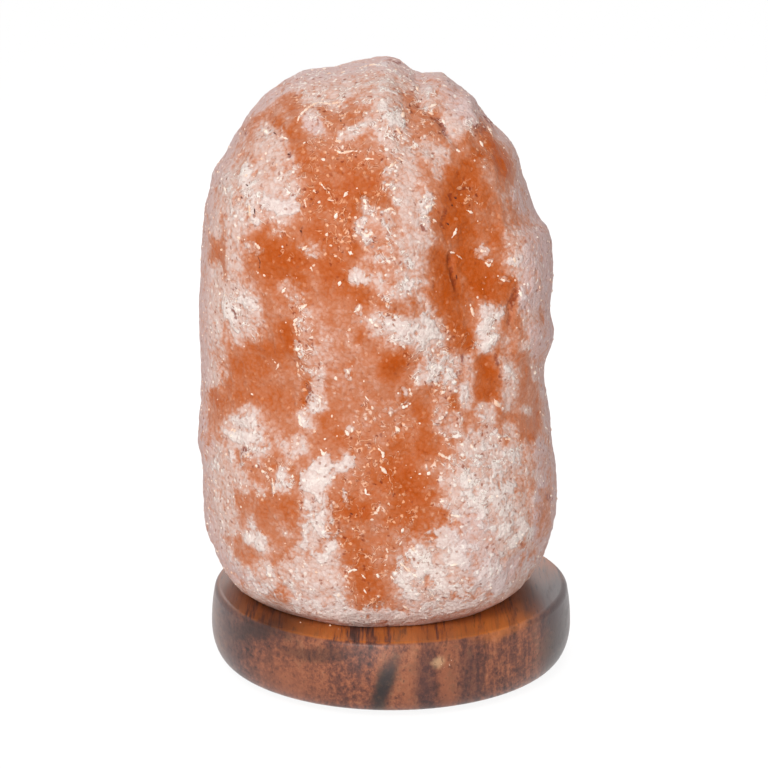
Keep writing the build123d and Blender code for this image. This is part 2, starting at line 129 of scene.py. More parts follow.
def grain(tree, where, scale, detail=3.0, roughness=0.55, distortion=0.0):
    return place(tree, "ShaderNodeTexNoise", Vector=where, Scale=scale, Detail=detail,
                 Roughness=roughness, Distortion=distortion).outputs["Fac"]


def stretched(tree, where, size, turn):
    return place(tree, "ShaderNodeMapping", Vector=where, Scale=size, Rotation=turn).outputs["Vector"]


def startGroup(name, inputs, outputs, treeKind="ShaderNodeTree"):
    group = bpy.data.node_groups.new(name, treeKind)
    for label, kind, value in inputs:
        socket = group.interface.new_socket(name=label, in_out="INPUT", socket_type="NodeSocket" + kind)
        if value is not None:
            socket.default_value = value
    for label, kind in outputs:
        group.interface.new_socket(name=label, in_out="OUTPUT", socket_type="NodeSocket" + kind)
    return group, group.nodes.new("NodeGroupInput").outputs, group.nodes.new("NodeGroupOutput").inputs


def useGroup(tree, group, **inputs):
    node = tree.nodes.new("ShaderNodeGroup")
    node.node_tree = group
    for key, value in inputs.items():
        feed(tree, node.inputs[key.replace("_", " ")], value)
    return node.outputs


def startMaterial(name, **shaderValues):
    material = bpy.data.materials.new(name)
    material.use_nodes = True
    tree = material.node_tree
    shader = tree.nodes["Principled BSDF"]
    for key, value in shaderValues.items():
        feed(tree, shader.inputs[key.replace("_", " ")], value)
    where = tree.nodes.new("ShaderNodeTexCoord").outputs["Object"]
    return material, tree, shader, where


def relief(tree, shader, height, depth, strength=1.0):
    bump = place(tree, "ShaderNodeBump", Height=height, Distance=depth, Strength=strength)
    tree.links.new(bump.outputs["Normal"], shader.inputs["Normal"])


def linkNew(name, mesh):
    piece = bpy.data.objects.new(name, mesh)
    scene.collection.objects.link(piece)
    return piece


def settle(piece):
    # turns whatever the modifiers make into a plain mesh
    made = bpy.data.meshes.new_from_object(piece.evaluated_get(bpy.context.evaluated_depsgraph_get()))
    piece.modifiers.clear()
    piece.data = made
    return piece


def smoothStep(low, high, value):
    t = np.clip((value - low) / (high - low), 0, 1)
    return t * t * (3 - 2 * t)


def noiseAt(points, scale, shift, octaves):
    # soft noise, about -1 to 1, sampled at each point; scale is in waves per metre
    octaveShift = 7.3        # each finer octave is read from another place
    total, weight = np.zeros(len(points)), 1.0
    for octave in range(octaves):
        at = points * (scale * 2 ** octave) + shift + octaveShift * octave
        total += weight * np.array([noise.noise(p) for p in at.tolist()])
        weight *= 0.5
    return total


# the camera, at the photograph's angle

viewSettings = {
    "focalLength": 98.4,      # mm
    "sensorWidth": 36.0,      # mm
    "distance": 0.600,        # m from the lens to the point looked at
    "tilt": 14.46,            # degrees down
    "aim": (-0.00204, 0.0, 0.0814),
    "imageSize": 768,
}

tilt = math.radians(viewSettings["tilt"])
aim = Vector(viewSettings["aim"])
cameraPlace = aim + viewSettings["distance"] * Vector((0, -math.cos(tilt), math.sin(tilt)))
lens = bpy.data.cameras.new("studioCamera")
lens.lens, lens.sensor_width = viewSettings["focalLength"], viewSettings["sensorWidth"]
camera = bpy.data.objects.new("studioCamera", lens)
scene.collection.objects.link(camera)
camera.location = cameraPlace
camera.rotation_euler = Euler((math.pi / 2 - tilt, 0, 0))
scene.camera = camera

forward = Vector((0, math.cos(tilt), -math.sin(tilt)))
upward = Vector((0, math.sin(tilt), math.cos(tilt)))
pixelsPerUnit = viewSettings["focalLength"] / viewSettings["sensorWidth"] * viewSettings["imageSize"]
imageCentre = viewSettings["imageSize"] / 2


def pictured(points):
    # where points of the object fall in the 768 x 768 picture
    away = points - np.array(cameraPlace)
    depth = away @ np.array(forward)
    across = imageCentre + pixelsPerUnit * away[:, 0] / depth
    down = imageCentre - pixelsPerUnit * (away @ np.array(upward)) / depth
    return across, down


def rayThrough(across, down):
    side = (across - imageCentre) / pixelsPerUnit
    rise = (imageCentre - down) / pixelsPerUnit
    return (forward + Vector((1, 0, 0)) * side + upward * rise).normalized()


print("camera placed")

# shared shader groups

def buildFineSkin():
    # the slight unevenness of a moulded, fired or drawn surface
    fineShare, broadShare = 0.45, 0.55
    broadScale = 0.12        # the broad clouds' scale, as a share of the fine grain's
    gain = 4.0               # brings the noise's own small swing up to the unevenness asked for
    group, given, out = startGroup("fineSkin", (
        ("Place", "Vector", (0, 0, 0)), ("Scale", "Float", 900.0),
        ("Unevenness", "Float", 0.08), ("Colour", "Color", (0.5, 0.5, 0.5, 1)),
    ), (("Colour", "Color"), ("Shade", "Float"), ("Height", "Float")))
    fine = grain(group, given["Place"], given["Scale"], 4.0, 0.6)
    broad = grain(group, given["Place"], times(group, given["Scale"], broadScale), 2.0)
    both = plus(group, times(group, fine, fineShare), times(group, broad, broadShare))
    swing = times(group, minus(group, both, 0.5), times(group, given["Unevenness"], gain))
    shade = plus(group, 1.0, swing)
    group.links.new(scaledVector(group, given["Colour"], shade), out["Colour"])
    group.links.new(both, out["Shade"])
    group.links.new(fine, out["Height"])
    return group


def buildFineLines():
    # long fine lines, as left by turning, drawing or rolling
    group, given, out = startGroup("fineLines", (
        ("Place", "Vector", (0, 0, 0)), ("Stretch", "Vector", (1, 1, 12)),
        ("Scale", "Float", 300.0),
    ), (("Line", "Float"),))
    along = vectors(group, "MULTIPLY", given["Place"], given["Stretch"])
    group.links.new(grain(group, along, given["Scale"], 5.0, 0.7), out["Line"])
    return group


def buildSoftSpot():
    # 1 inside a soft-edged oval at a chosen place, 0 outside
    group, given, out = startGroup("softSpot", (
        ("Place", "Vector", (0, 0, 0)), ("Centre", "Vector", (0, 0, 0)),
        ("Reach", "Vector", (0.01, 0.01, 0.01)), ("Lean", "Float", 0.0),
        ("Softness", "Float", 0.4),
    ), (("Mask", "Float"),))
    moved = vectors(group, "SUBTRACT", given["Place"], given["Centre"])
    turned = place(group, "ShaderNodeVectorRotate", {"rotation_type": "Y_AXIS"}, Vector=moved,
                   Angle=given["Lean"])
    sized = vectors(group, "DIVIDE", turned.outputs["Vector"], given["Reach"])
    length = place(group, "ShaderNodeVectorMath", {"operation": "LENGTH"}, Vector=sized)
    inner = minus(group, 1.0, given["Softness"])
    outer = plus(group, 1.0, given["Softness"])
    group.links.new(ease(group, length.outputs["Value"], inner, outer, 1.0, 0.0), out["Mask"])
    return group


fineSkin = buildFineSkin()
fineLines = buildFineLines()
softSpot = buildSoftSpot()
print("shared groups built")

# the salt crystal

saltRock = {
    "meshSize": 0.96 * mm,        # spacing of the skin's points
    "lumpDepth": 1.0 * mm,        # broad hollows and swells
    "facetDepth": 1.5 * mm,       # ridges and hollows of the back
    "chipDepth": 0.42 * mm,       # facets a few millimetres across
    "rippleDepth": 0.16 * mm,     # unevenness between them
    "frostDepth": 0.28 * mm,      # how far the white crust stands proud
    "frostGrain": 0.16 * mm,      # roughness of the crust
    "crackDepth": 0.2 * mm,       # how far a stained crack lies back
    "footStart": 0.2 * mm,        # shaping starts this far above the seat
    "footFull": 3.0 * mm,         # and is full from here up
    "boreRadius": 22.0 * mm,
    "boreTop": 114.0 * mm,
    "boreMargin": 1.5 * mm,
    "crownRoom": 2.5 * mm,        # the peak may rise this far past the CAD's
    "weld": 0.001 * mm,           # points nearer to each other than this are made one
    "frontStart": -0.28,          # cosines of the angle to the camera between which back turns to front
    "frontFull": 0.02,
    "leastFade": 2.2,             # picture points over which a stroke fades at the least
}
# soft noises that shape and colour the rock: waves per metre, where each is read, octaves
rockNoises = {
    "driftX": (100, 3.1, 2), "jitterX": (420, 9.7, 1), "driftY": (100, 17.9, 2), "jitterY": (420, 27.1, 1),
    "patchesA": (38, 5.0, 3), "patchesB": (38, 31.0, 3), "patchesC": (38, 57.0, 3), "mottle": (150, 71.0, 2),
    "crustEdge": (420, 41.0, 1), "crustGrain": (620, 61.0, 2), "chips": (130, 83.0, 2),
    "lumps": (42, 19.0, 1), "ripple": (300, 23.0, 2), "facets": (52, 91.0, 2),
}

# the crystal's outline as the picture shows it, read clockwise from the peak
outlineCentre = (380, 340)
outline = (
    (388, 57), (398, 59), (405, 62), (412, 68), (420, 73), (430, 73), (440, 72), (447, 76), (455, 82),
    (462, 87), (470, 93), (475, 98), (480, 105), (486, 114), (493, 123), (500, 130), (508, 138), (514, 145),
    (518, 153), (521, 162), (523, 172), (527, 184), (532, 200), (535, 210), (540, 220), (545, 225),
    (549, 232), (551, 241), (552, 250), (553, 270), (552, 290), (550, 300), (549, 312), (551, 320),
    (553, 330), (552, 341), (549, 350), (545, 360), (543, 367), (543, 375), (545, 386), (548, 400),
    (550, 411), (551, 425), (552, 436), (554, 447), (556, 458), (557, 468), (558, 482), (558, 498),
    (557, 512), (554, 526), (550, 540), (546, 551), (541, 562), (535, 571), (528, 580), (520, 588),
    (508, 597), (495, 604), (480, 611), (465, 616), (440, 621), (415, 624), (390, 625), (370, 626),
    (350, 625), (328, 622), (306, 617), (284, 611), (266, 604), (252, 597), (240, 589), (231, 580),
    (224, 571), (219, 562), (214, 550), (210, 541), (206, 530), (203, 517), (202, 503), (202, 480),
    (202, 463), (200, 451), (198, 440), (199, 422), (201, 402), (202, 380), (202, 358), (201, 340),
    (200, 320), (200, 300), (201, 280), (201, 260), (202, 240), (203, 222), (205, 203), (208, 193),
    (210, 184), (211, 176), (215, 168), (221, 160), (227, 150), (233, 138), (239, 128), (246, 117),
    (254, 106), (263, 97), (272, 89), (280, 84), (288, 79), (296, 74), (304, 71), (315, 69), (330, 68),
    (340, 66), (350, 63), (362, 60), (375, 58),
)

# marks on the front, each a stroke in the picture: from x, y to x, y, half its width, and how strong it is
frostStrokes = (
    (246, 168, 252, 198, 8, 0.95), (252, 200, 254, 220, 6, 0.95), (266, 205, 290, 206, 9, 0.85),
    (232, 188, 232, 214, 6, 0.62), (236, 205, 240, 218, 5, 0.6), (264, 131, 270, 138, 4, 0.6),
    (298, 120, 304, 112, 3, 0.7), (366, 66, 384, 64, 5, 0.62), (352, 130, 372, 124, 5, 0.5),
    (400, 108, 403, 120, 5, 0.8), (384, 108, 392, 122, 12, 0.55), (372, 84, 398, 92, 9, 0.5),
    (424, 84, 430, 92, 7, 0.62), (428, 104, 436, 110, 6, 0.72), (443, 82, 448, 87, 3, 0.5),
    (426, 156, 432, 166, 6, 0.55), (386, 160, 396, 205, 8, 0.5), (364, 198, 368, 212, 5, 0.8),
    (362, 222, 370, 238, 6, 0.75), (380, 216, 384, 228, 5, 0.6), (428, 200, 430, 216, 7, 0.66),
    (384, 232, 392, 248, 8, 0.45), (374, 246, 392, 262, 7, 0.42), (352, 272, 366, 276, 9, 0.8),
    (370, 264, 392, 286, 8, 0.48), (400, 262, 416, 290, 10, 0.42), (408, 300, 416, 306, 8, 0.5),
    (388, 322, 420, 338, 12, 0.78), (424, 312, 436, 340, 7, 0.6), (426, 364, 434, 372, 9, 0.66),
    (448, 372, 456, 380, 7, 0.62), (440, 352, 450, 366, 7, 0.5), (464, 384, 462, 402, 5, 0.66),
    (484, 252, 481, 254, 5, 0.9), (487, 264, 493, 260, 3, 0.9), (512, 262, 518, 258, 5, 0.75),
    (500, 280, 506, 280, 3, 0.8), (484, 312, 496, 310, 9, 0.95), (482, 326, 490, 340, 8, 0.97),
    (482, 342, 488, 350, 5, 0.95), (502, 312, 506, 314, 3, 0.7), (474, 340, 470, 344, 3, 0.8),
    (520, 290, 523, 296, 3, 0.8), (506, 364, 510, 380, 7, 0.55), (498, 400, 502, 408, 4, 0.7),
    (484, 408, 484, 420, 5, 0.66), (498, 434, 512, 440, 6, 0.72), (484, 448, 492, 450, 7, 0.62),
    (403, 388, 408, 392, 6, 0.72), (400, 404, 410, 402, 5, 0.7), (390, 410, 393, 418, 3, 0.6),
    (397, 426, 400, 432, 3, 0.8), (228, 300, 236, 326, 8, 0.8), (244, 298, 252, 306, 6, 0.72),
    (248, 248, 258, 252, 7, 0.6), (304, 248, 312, 256, 6, 0.62), (300, 318, 296, 332, 3, 0.7),
    (298, 346, 301, 354, 5, 0.78), (298, 366, 304, 374, 5, 0.6), (304, 416, 306, 424, 6, 0.72),
    (310, 400, 318, 412, 5, 0.55), (346, 370, 349, 376, 4, 0.7), (350, 428, 352, 434, 4, 0.66),
    (356, 312, 358, 306, 4, 0.72), (240, 416, 254, 424, 7, 0.66), (232, 432, 256, 440, 8, 0.72),
    (256, 446, 264, 442, 5, 0.72), (246, 456, 250, 452, 4, 0.9), (226, 454, 216, 470, 8, 0.6),
    (282, 474, 284, 484, 6, 0.7), (300, 446, 301, 450, 4, 0.6), (276, 484, 274, 490, 3, 0.8),
    (322, 462, 306, 478, 9, 1.0), (318, 468, 324, 478, 7, 1.0), (306, 484, 322, 488, 7, 1.0),
    (338, 466, 350, 460, 6, 1.0), (344, 470, 354, 466, 3, 0.95), (322, 492, 330, 504, 8, 1.0),
    (306, 502, 308, 512, 5, 0.85), (318, 518, 330, 514, 7, 0.97), (322, 528, 326, 538, 5, 0.95),
    (306, 524, 304, 540, 5, 0.7), (346, 492, 351, 498, 5, 0.95), (350, 500, 351, 506, 3, 0.95),
    (306, 546, 322, 556, 6, 0.7), (334, 536, 330, 552, 5, 0.62), (246, 540, 244, 548, 5, 0.66),
    (260, 538, 260, 550, 7, 0.72), (246, 520, 250, 526, 5, 0.5), (338, 596, 346, 608, 8, 0.78),
    (352, 606, 336, 612, 6, 0.66), (378, 596, 382, 600, 5, 0.62), (372, 612, 384, 616, 4, 0.5),
    (268, 572, 272, 580, 5, 0.6), (286, 586, 296, 576, 9, 0.55), (486, 490, 512, 494, 13, 0.72),
    (500, 506, 516, 520, 14, 0.62), (470, 500, 486, 530, 16, 0.62), (452, 520, 460, 545, 14, 0.6),
    (440, 540, 480, 570, 18, 0.72), (416, 560, 440, 590, 16, 0.74), (400, 572, 412, 592, 12, 0.66),
    (436, 580, 460, 600, 16, 0.76), (480, 560, 500, 590, 16, 0.68), (500, 534, 524, 548, 13, 0.6),
    (520, 520, 530, 534, 9, 0.66), (425, 608, 438, 612, 7, 0.7), (462, 470, 474, 486, 8, 0.6),
    (480, 462, 500, 474, 10, 0.6), (504, 452, 520, 464, 9, 0.5), (530, 470, 534, 476, 6, 0.4),
    (540, 572, 532, 584, 6, 0.6), (232, 566, 250, 584, 8, 0.62), (300, 604, 400, 618, 9, 0.85),
    (256, 590, 300, 606, 7, 0.6), (410, 618, 480, 604, 8, 0.8), (466, 580, 500, 584, 12, 0.66),
    (504, 560, 532, 566, 8, 0.5),
)
hazeStrokes = (
    (300, 78, 340, 74, 12, 0.8), (330, 88, 360, 70, 16, 0.95), (370, 72, 410, 70, 14, 1.0),
    (380, 100, 392, 130, 20, 0.9), (320, 92, 312, 96, 10, 0.8), (310, 112, 316, 128, 9, 0.8),
    (344, 134, 376, 122, 7, 0.9), (392, 140, 404, 160, 14, 0.7), (404, 170, 412, 212, 17, 0.72),
    (424, 84, 434, 100, 10, 0.95), (452, 84, 470, 108, 15, 0.95), (446, 100, 458, 136, 9, 0.9),
    (466, 112, 464, 130, 9, 0.8), (424, 146, 440, 152, 10, 0.85), (430, 156, 436, 172, 9, 0.72),
    (210, 180, 226, 160, 8, 0.8), (226, 168, 240, 150, 8, 0.6), (240, 146, 256, 160, 9, 0.55),
    (274, 102, 286, 124, 11, 0.4), (268, 142, 276, 212, 17, 0.85), (290, 160, 292, 190, 10, 0.6),
    (226, 176, 236, 220, 14, 0.95), (250, 170, 256, 216, 12, 0.95), (210, 196, 214, 230, 8, 0.8),
    (230, 220, 236, 290, 9, 0.86), (212, 270, 212, 340, 9, 0.86), (208, 344, 214, 380, 8, 0.72),
    (236, 290, 240, 330, 16, 0.95), (250, 300, 256, 320, 8, 0.7), (220, 350, 224, 376, 6, 0.55),
    (204, 208, 205, 236, 4, 0.75), (308, 250, 318, 246, 8, 0.62), (286, 288, 298, 300, 9, 0.6),
    (312, 310, 330, 330, 12, 0.28), (306, 330, 314, 366, 10, 0.26), (322, 340, 326, 392, 12, 0.26),
    (316, 380, 320, 406, 9, 0.78), (304, 412, 310, 426, 7, 0.8), (372, 226, 400, 236, 20, 0.46),
    (420, 208, 422, 236, 12, 0.8), (400, 250, 408, 288, 20, 0.52), (372, 264, 384, 290, 14, 0.5),
    (366, 272, 354, 276, 8, 0.8), (386, 326, 428, 336, 18, 0.8), (424, 300, 430, 312, 8, 0.74),
    (436, 350, 428, 372, 13, 0.75), (452, 364, 456, 384, 12, 0.62), (464, 384, 468, 400, 9, 0.72),
    (444, 396, 446, 430, 8, 0.5), (454, 416, 456, 430, 8, 0.66), (466, 360, 472, 376, 7, 0.5),
    (520, 236, 530, 300, 14, 0.92), (538, 232, 546, 290, 10, 0.9), (528, 300, 530, 330, 10, 0.84),
    (532, 340, 538, 350, 12, 0.84), (490, 312, 486, 342, 12, 0.95), (506, 330, 508, 352, 6, 0.5),
    (508, 362, 508, 400, 10, 0.82), (520, 160, 526, 200, 8, 0.6), (506, 140, 516, 156, 8, 0.6),
    (508, 196, 516, 216, 7, 0.42), (488, 410, 494, 434, 9, 0.78), (508, 428, 512, 440, 8, 0.7),
    (484, 448, 508, 470, 22, 0.86), (540, 446, 546, 480, 10, 0.86), (524, 452, 528, 470, 10, 0.62),
    (536, 366, 538, 376, 5, 0.7), (528, 410, 529, 414, 4, 0.66), (470, 490, 490, 540, 30, 0.95),
    (440, 560, 500, 570, 34, 0.95), (510, 500, 524, 540, 18, 0.86), (412, 584, 430, 608, 18, 0.92),
    (540, 500, 536, 560, 7, 0.6), (520, 570, 500, 596, 12, 0.78), (470, 604, 420, 616, 10, 0.72),
    (480, 576, 510, 588, 16, 0.95), (240, 430, 250, 440, 18, 0.9), (216, 456, 216, 530, 16, 0.95),
    (236, 470, 242, 486, 10, 0.86), (246, 412, 248, 424, 9, 0.85), (276, 440, 290, 456, 10, 0.5),
    (284, 476, 282, 486, 8, 0.8), (300, 440, 302, 452, 6, 0.8), (210, 540, 222, 560, 9, 0.9),
    (226, 566, 250, 586, 9, 0.9), (252, 486, 262, 492, 7, 0.6), (250, 520, 248, 528, 8, 0.5),
    (246, 540, 260, 548, 10, 0.75), (282, 532, 290, 534, 6, 0.4), (316, 474, 312, 540, 14, 0.8),
    (346, 462, 340, 466, 9, 0.8), (300, 576, 326, 580, 22, 0.97), (268, 584, 262, 576, 12, 0.85),
    (250, 592, 300, 612, 8, 0.6), (300, 600, 350, 612, 10, 0.8), (360, 618, 420, 620, 5, 0.75),
    (326, 548, 336, 566, 12, 0.7),
)
# amber strokes; the strongest, over 1, paint the deepest orange, partly the clear salt's own colour and
# partly a painted glow of light passing through it
amberStrokes = (
    (266, 250, 290, 262, 18, 1.0), (270, 270, 300, 290, 14, 0.85), (320, 230, 332, 280, 16, 0.75),
    (340, 280, 362, 300, 12, 0.75), (286, 330, 290, 350, 9, 0.9), (250, 344, 280, 352, 10, 0.8),
    (236, 370, 262, 372, 9, 0.6), (306, 384, 308, 400, 5, 1.0), (330, 190, 356, 190, 18, 0.75),
    (316, 170, 350, 172, 12, 0.5), (300, 150, 306, 168, 8, 0.6), (276, 128, 296, 134, 7, 0.5),
    (350, 210, 352, 250, 9, 0.8), (372, 176, 380, 200, 8, 0.55), (456, 176, 462, 232, 15, 1.1),
    (446, 262, 450, 290, 15, 1.1), (470, 262, 486, 280, 16, 1.2), (476, 280, 492, 296, 12, 1.1),
    (496, 268, 508, 292, 10, 0.8), (488, 232, 506, 244, 12, 0.6), (484, 120, 496, 150, 6, 0.75),
    (500, 160, 506, 172, 7, 0.85), (466, 166, 478, 196, 10, 0.9), (446, 308, 462, 340, 12, 0.85),
    (466, 330, 468, 348, 5, 1.1), (486, 364, 488, 394, 8, 1.0), (452, 396, 453, 408, 4, 1.0),
    (388, 364, 402, 362, 9, 1.0), (420, 410, 426, 440, 10, 0.85), (396, 470, 420, 500, 20, 1.0),
    (404, 508, 428, 530, 16, 0.9), (400, 446, 424, 452, 12, 0.8), (352, 508, 364, 512, 9, 1.0),
    (360, 560, 372, 590, 12, 0.65), (352, 544, 360, 560, 9, 0.7), (286, 500, 292, 520, 9, 0.3),
    (262, 510, 268, 540, 7, 0.15), (330, 420, 340, 440, 9, 0.6), (366, 330, 360, 338, 6, 0.8),
    (386, 306, 392, 314, 8, 0.7), (208, 246, 212, 262, 6, 0.4), (210, 392, 216, 400, 6, 0.5),
    (532, 438, 536, 440, 4, 1.0), (526, 548, 528, 558, 3, 1.0), (506, 566, 510, 566, 4, 0.7),
    (246, 128, 256, 122, 4, 0.8), (476, 156, 480, 156, 4, 0.9), (376, 470, 380, 500, 10, 0.6),
    (232, 388, 284, 400, 14, 0.35),
)
shadeStrokes = (
    (453, 196, 456, 200, 4, 0.9), (446, 212, 450, 226, 4, 0.8), (460, 190, 468, 186, 3, 0.7),
    (455, 254, 458, 266, 2.5, 0.9), (457, 268, 455, 288, 2.5, 0.9), (420, 99, 421, 100, 3, 0.9),
    (422, 112, 438, 118, 2.5, 0.65), (440, 122, 450, 134, 2.5, 0.7), (452, 138, 460, 146, 2.5, 0.6),
    (480, 112, 482, 130, 4, 0.6), (486, 114, 494, 124, 3, 0.6), (498, 128, 502, 132, 3, 0.4),
    (514, 290, 511, 310, 3, 0.75), (511, 314, 508, 322, 3, 0.8), (300, 229, 302, 233, 3, 0.9),
    (497, 354, 498, 378, 2, 0.8), (460, 372, 458, 386, 2.5, 0.8), (447, 336, 452, 340, 3, 0.7),
    (462, 356, 463, 368, 2, 0.7), (422, 226, 423, 228, 3, 0.8), (446, 412, 446, 432, 2.5, 0.5),
    (378, 232, 384, 238, 3, 0.45), (370, 250, 378, 240, 2.5, 0.5), (306, 384, 310, 398, 2, 0.7),
    (300, 430, 312, 428, 2, 0.7), (240, 451, 248, 447, 3, 0.7), (222, 434, 226, 440, 4, 0.45),
    (308, 497, 314, 500, 4, 0.6), (314, 508, 318, 518, 3, 0.6), (336, 506, 340, 530, 3, 0.55),
    (350, 514, 352, 516, 2, 0.8), (428, 578, 432, 592, 2, 0.6), (418, 597, 424, 599, 2, 0.6),
    (388, 56, 400, 58, 2, 0.7), (546, 520, 548, 512, 4, 0.4), (552, 496, 553, 506, 3, 0.4),
    (232, 306, 238, 316, 1.8, 0.9), (234, 287, 236, 289, 2, 0.7), (296, 312, 299, 320, 2, 0.6),
    (520, 302, 524, 310, 3, 0.3), (506, 322, 503, 332, 2, 0.5), (402, 86, 404, 87, 2, 0.6),
    (409, 104, 410, 107, 2.2, 0.8), (476, 124, 478, 130, 2.5, 0.7), (464, 142, 466, 144, 2.5, 0.7),
    (244, 134, 248, 128, 3, 0.4), (288, 153, 289, 156, 2.5, 0.9),
)
# lilac strokes; those along the rim are partly the salt's grey-pink and partly painted sheen where the
# surface turns away
lilacStrokes = (
    (545, 230, 548, 340, 9, 0.9), (540, 440, 552, 480, 10, 0.75), (548, 490, 544, 545, 9, 1.0),
    (452, 84, 470, 110, 14, 0.6), (520, 150, 530, 220, 8, 0.7), (534, 240, 530, 300, 12, 0.7),
    (204, 420, 208, 445, 7, 0.8), (203, 200, 202, 400, 3, 0.5), (210, 560, 236, 580, 8, 0.7),
    (500, 590, 530, 570, 10, 0.7), (470, 530, 490, 580, 20, 0.4), (536, 330, 540, 350, 10, 0.8),
    (310, 120, 316, 124, 8, 0.6), (286, 204, 270, 206, 10, 0.15),
)
# sparkle strokes mark where crumbs, pale scribbles and their painted glints crowd
sparkleStrokes = (
    (304, 184, 340, 226, 20, 0.9), (320, 150, 372, 160, 16, 0.6), (388, 160, 392, 204, 12, 1.0),
    (430, 204, 430, 222, 9, 1.0), (366, 200, 376, 240, 12, 0.8), (280, 232, 286, 256, 9, 0.6),
    (444, 356, 450, 432, 13, 0.95), (428, 370, 420, 376, 10, 0.6), (366, 448, 392, 520, 22, 0.7),
    (344, 488, 352, 540, 14, 0.7), (356, 552, 400, 560, 20, 0.6), (350, 580, 372, 600, 12, 0.6),
    (324, 106, 350, 128, 14, 0.75), (366, 100, 392, 130, 16, 0.9), (424, 100, 436, 130, 10, 0.9),
    (476, 124, 484, 156, 10, 0.6), (464, 186, 472, 200, 8, 0.6), (246, 176, 254, 214, 10, 0.6),
    (300, 306, 300, 374, 8, 0.7), (326, 240, 340, 276, 12, 0.5), (250, 456, 292, 480, 12, 0.8),
    (304, 500, 330, 530, 12, 0.7), (464, 470, 480, 500, 12, 0.7), (420, 566, 436, 596, 14, 0.6),
    (450, 330, 470, 344, 9, 0.6), (380, 300, 396, 330, 10, 0.6), (486, 430, 510, 450, 14, 0.6),
    (366, 404, 400, 430, 14, 0.5), (272, 480, 264, 496, 8, 0.7), (440, 500, 460, 530, 12, 0.5),
    (312, 88, 430, 82, 20, 0.9), (396, 96, 410, 140, 14, 0.8), (232, 184, 262, 214, 14, 0.85),
    (380, 230, 400, 280, 14, 0.8), (392, 326, 430, 372, 14, 0.8), (490, 320, 484, 344, 10, 0.8),
    (312, 400, 306, 330, 10, 0.8), (440, 470, 500, 460, 14, 0.7), (236, 300, 250, 330, 12, 0.6),
)
# hollows (minus) and swells (plus) of the front, their last number in mm
reliefStrokes = (
    (418, 70, 424, 98, 4, -0.9), (426, 104, 448, 130, 3, -0.8), (448, 130, 462, 148, 3, -0.6),
    (478, 108, 484, 150, 6, -0.8), (346, 190, 342, 300, 16, -0.6), (392, 160, 376, 215, 10, 0.5),
    (376, 215, 392, 290, 18, 0.6), (392, 300, 430, 372, 18, 0.6), (460, 180, 470, 250, 20, -1.1),
    (448, 262, 486, 285, 22, -0.9), (266, 240, 290, 270, 24, -0.7), (250, 360, 284, 396, 28, -0.6),
    (456, 256, 456, 286, 3, -0.7), (486, 312, 488, 340, 12, 0.7), (312, 330, 320, 400, 14, 0.45),
    (314, 470, 322, 530, 14, 0.6), (470, 500, 480, 570, 34, 0.8), (240, 430, 250, 440, 16, 0.5),
    (404, 430, 410, 500, 26, -0.6), (248, 180, 252, 210, 16, 0.6), (262, 130, 300, 140, 4, -0.5),
    (300, 96, 350, 100, 6, -0.4), (376, 100, 392, 124, 16, 0.5), (512, 290, 508, 322, 3, -0.7),
    (526, 240, 534, 300, 12, 0.5), (300, 575, 320, 590, 20, 0.5), (486, 364, 488, 396, 8, -0.7),
    (540, 360, 520, 364, 8, -0.5), (280, 100, 276, 124, 14, -0.5), (230, 500, 240, 540, 14, -0.3),
)


def evenSkin(name, source, spacing):
    mesh = source.data.copy()
    mesh.materials.clear()
    shell = bmesh.new()
    shell.from_mesh(mesh)
    bmesh.ops.remove_doubles(shell, verts=shell.verts, dist=saltRock["weld"])
    shell.to_mesh(mesh)
    shell.free()
    piece = linkNew(name, mesh)
    remesh = piece.modifiers.new("evenSkin", "REMESH")
    remesh.mode, remesh.voxel_size = "VOXEL", spacing
    remesh.use_smooth_shade = True
    return settle(piece)


def strokeField(across, down, strokes, softness, signed=False):
    # the strongest stroke at each point, fading over the stroke's edge
    field = np.zeros(len(across))
    for x0, y0, x1, y1, halfWidth, strength in strokes:
        dx, dy = x1 - x0, y1 - y0
        along = np.clip(((across - x0) * dx + (down - y0) * dy) / (dx * dx + dy * dy), 0, 1)
        away = np.hypot(across - x0 - along * dx, down - y0 - along * dy)
        fade = max(saltRock["leastFade"], halfWidth * softness)
        value = strength * (1 - smoothStep(halfWidth - fade, halfWidth + fade, away))
        field = field + value if signed else np.maximum(field, value)
    return field


def storeField(mesh, name, values):
    layer = mesh.attributes.new(name, "FLOAT", "POINT")
    layer.data.foreach_set("value", np.clip(values, -1, 2).astype(np.float32))


crystal = evenSkin("salt_crystal_rock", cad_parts["salt_crystal"], saltRock["meshSize"])
skin = crystal.data
count = len(skin.vertices)
points, normals = np.empty(count * 3), np.empty(count * 3)
skin.vertices.foreach_get("co", points)
skin.vertices.foreach_get("normal", normals)
points, normals = points.reshape(-1, 3), normals.reshape(-1, 3)
base, crown = (corner.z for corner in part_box("salt_crystal"))
print("crystal skin:", count, "points")


def rockNoise(label, where=points):
    return noiseAt(where, *rockNoises[label])


# nothing is pushed in or out in the bore or on the seat
fromAxis = np.hypot(points[:, 0], points[:, 1])
aboveSeat = points[:, 2] - base
inBore = (fromAxis < saltRock["boreRadius"] + saltRock["boreMargin"]) & (points[:, 2] < saltRock["boreTop"])
outer = np.where(inBore, 0.0, smoothStep(saltRock["footStart"], saltRock["footFull"], aboveSeat))

toCamera = np.array(cameraPlace) - points
toCamera /= np.linalg.norm(toCamera, axis=1)[:, None]
# 1 on the front that the picture shows; the foot turns under, so there the way it looks sideways counts
sideways = normals[:, :2] / (np.linalg.norm(normals[:, :2], axis=1)[:, None] + 1e-6)
turnedTo = (normals * toCamera).sum(1)
turnedTo = np.where(normals[:, 2] < 0, np.maximum(turnedTo, (sideways * toCamera[:, :2]).sum(1)), turnedTo)
facing = smoothStep(saltRock["frontStart"], saltRock["frontFull"], turnedTo)
across, down = pictured(points)
drift, jitter = 5.0, 2.4        # picture points by which the strokes' edges wander
driftX = drift * rockNoise("driftX") + jitter * rockNoise("jitterX")
driftY = drift * rockNoise("driftY") + jitter * rockNoise("jitterY")
across, down = across + driftX, down + driftY

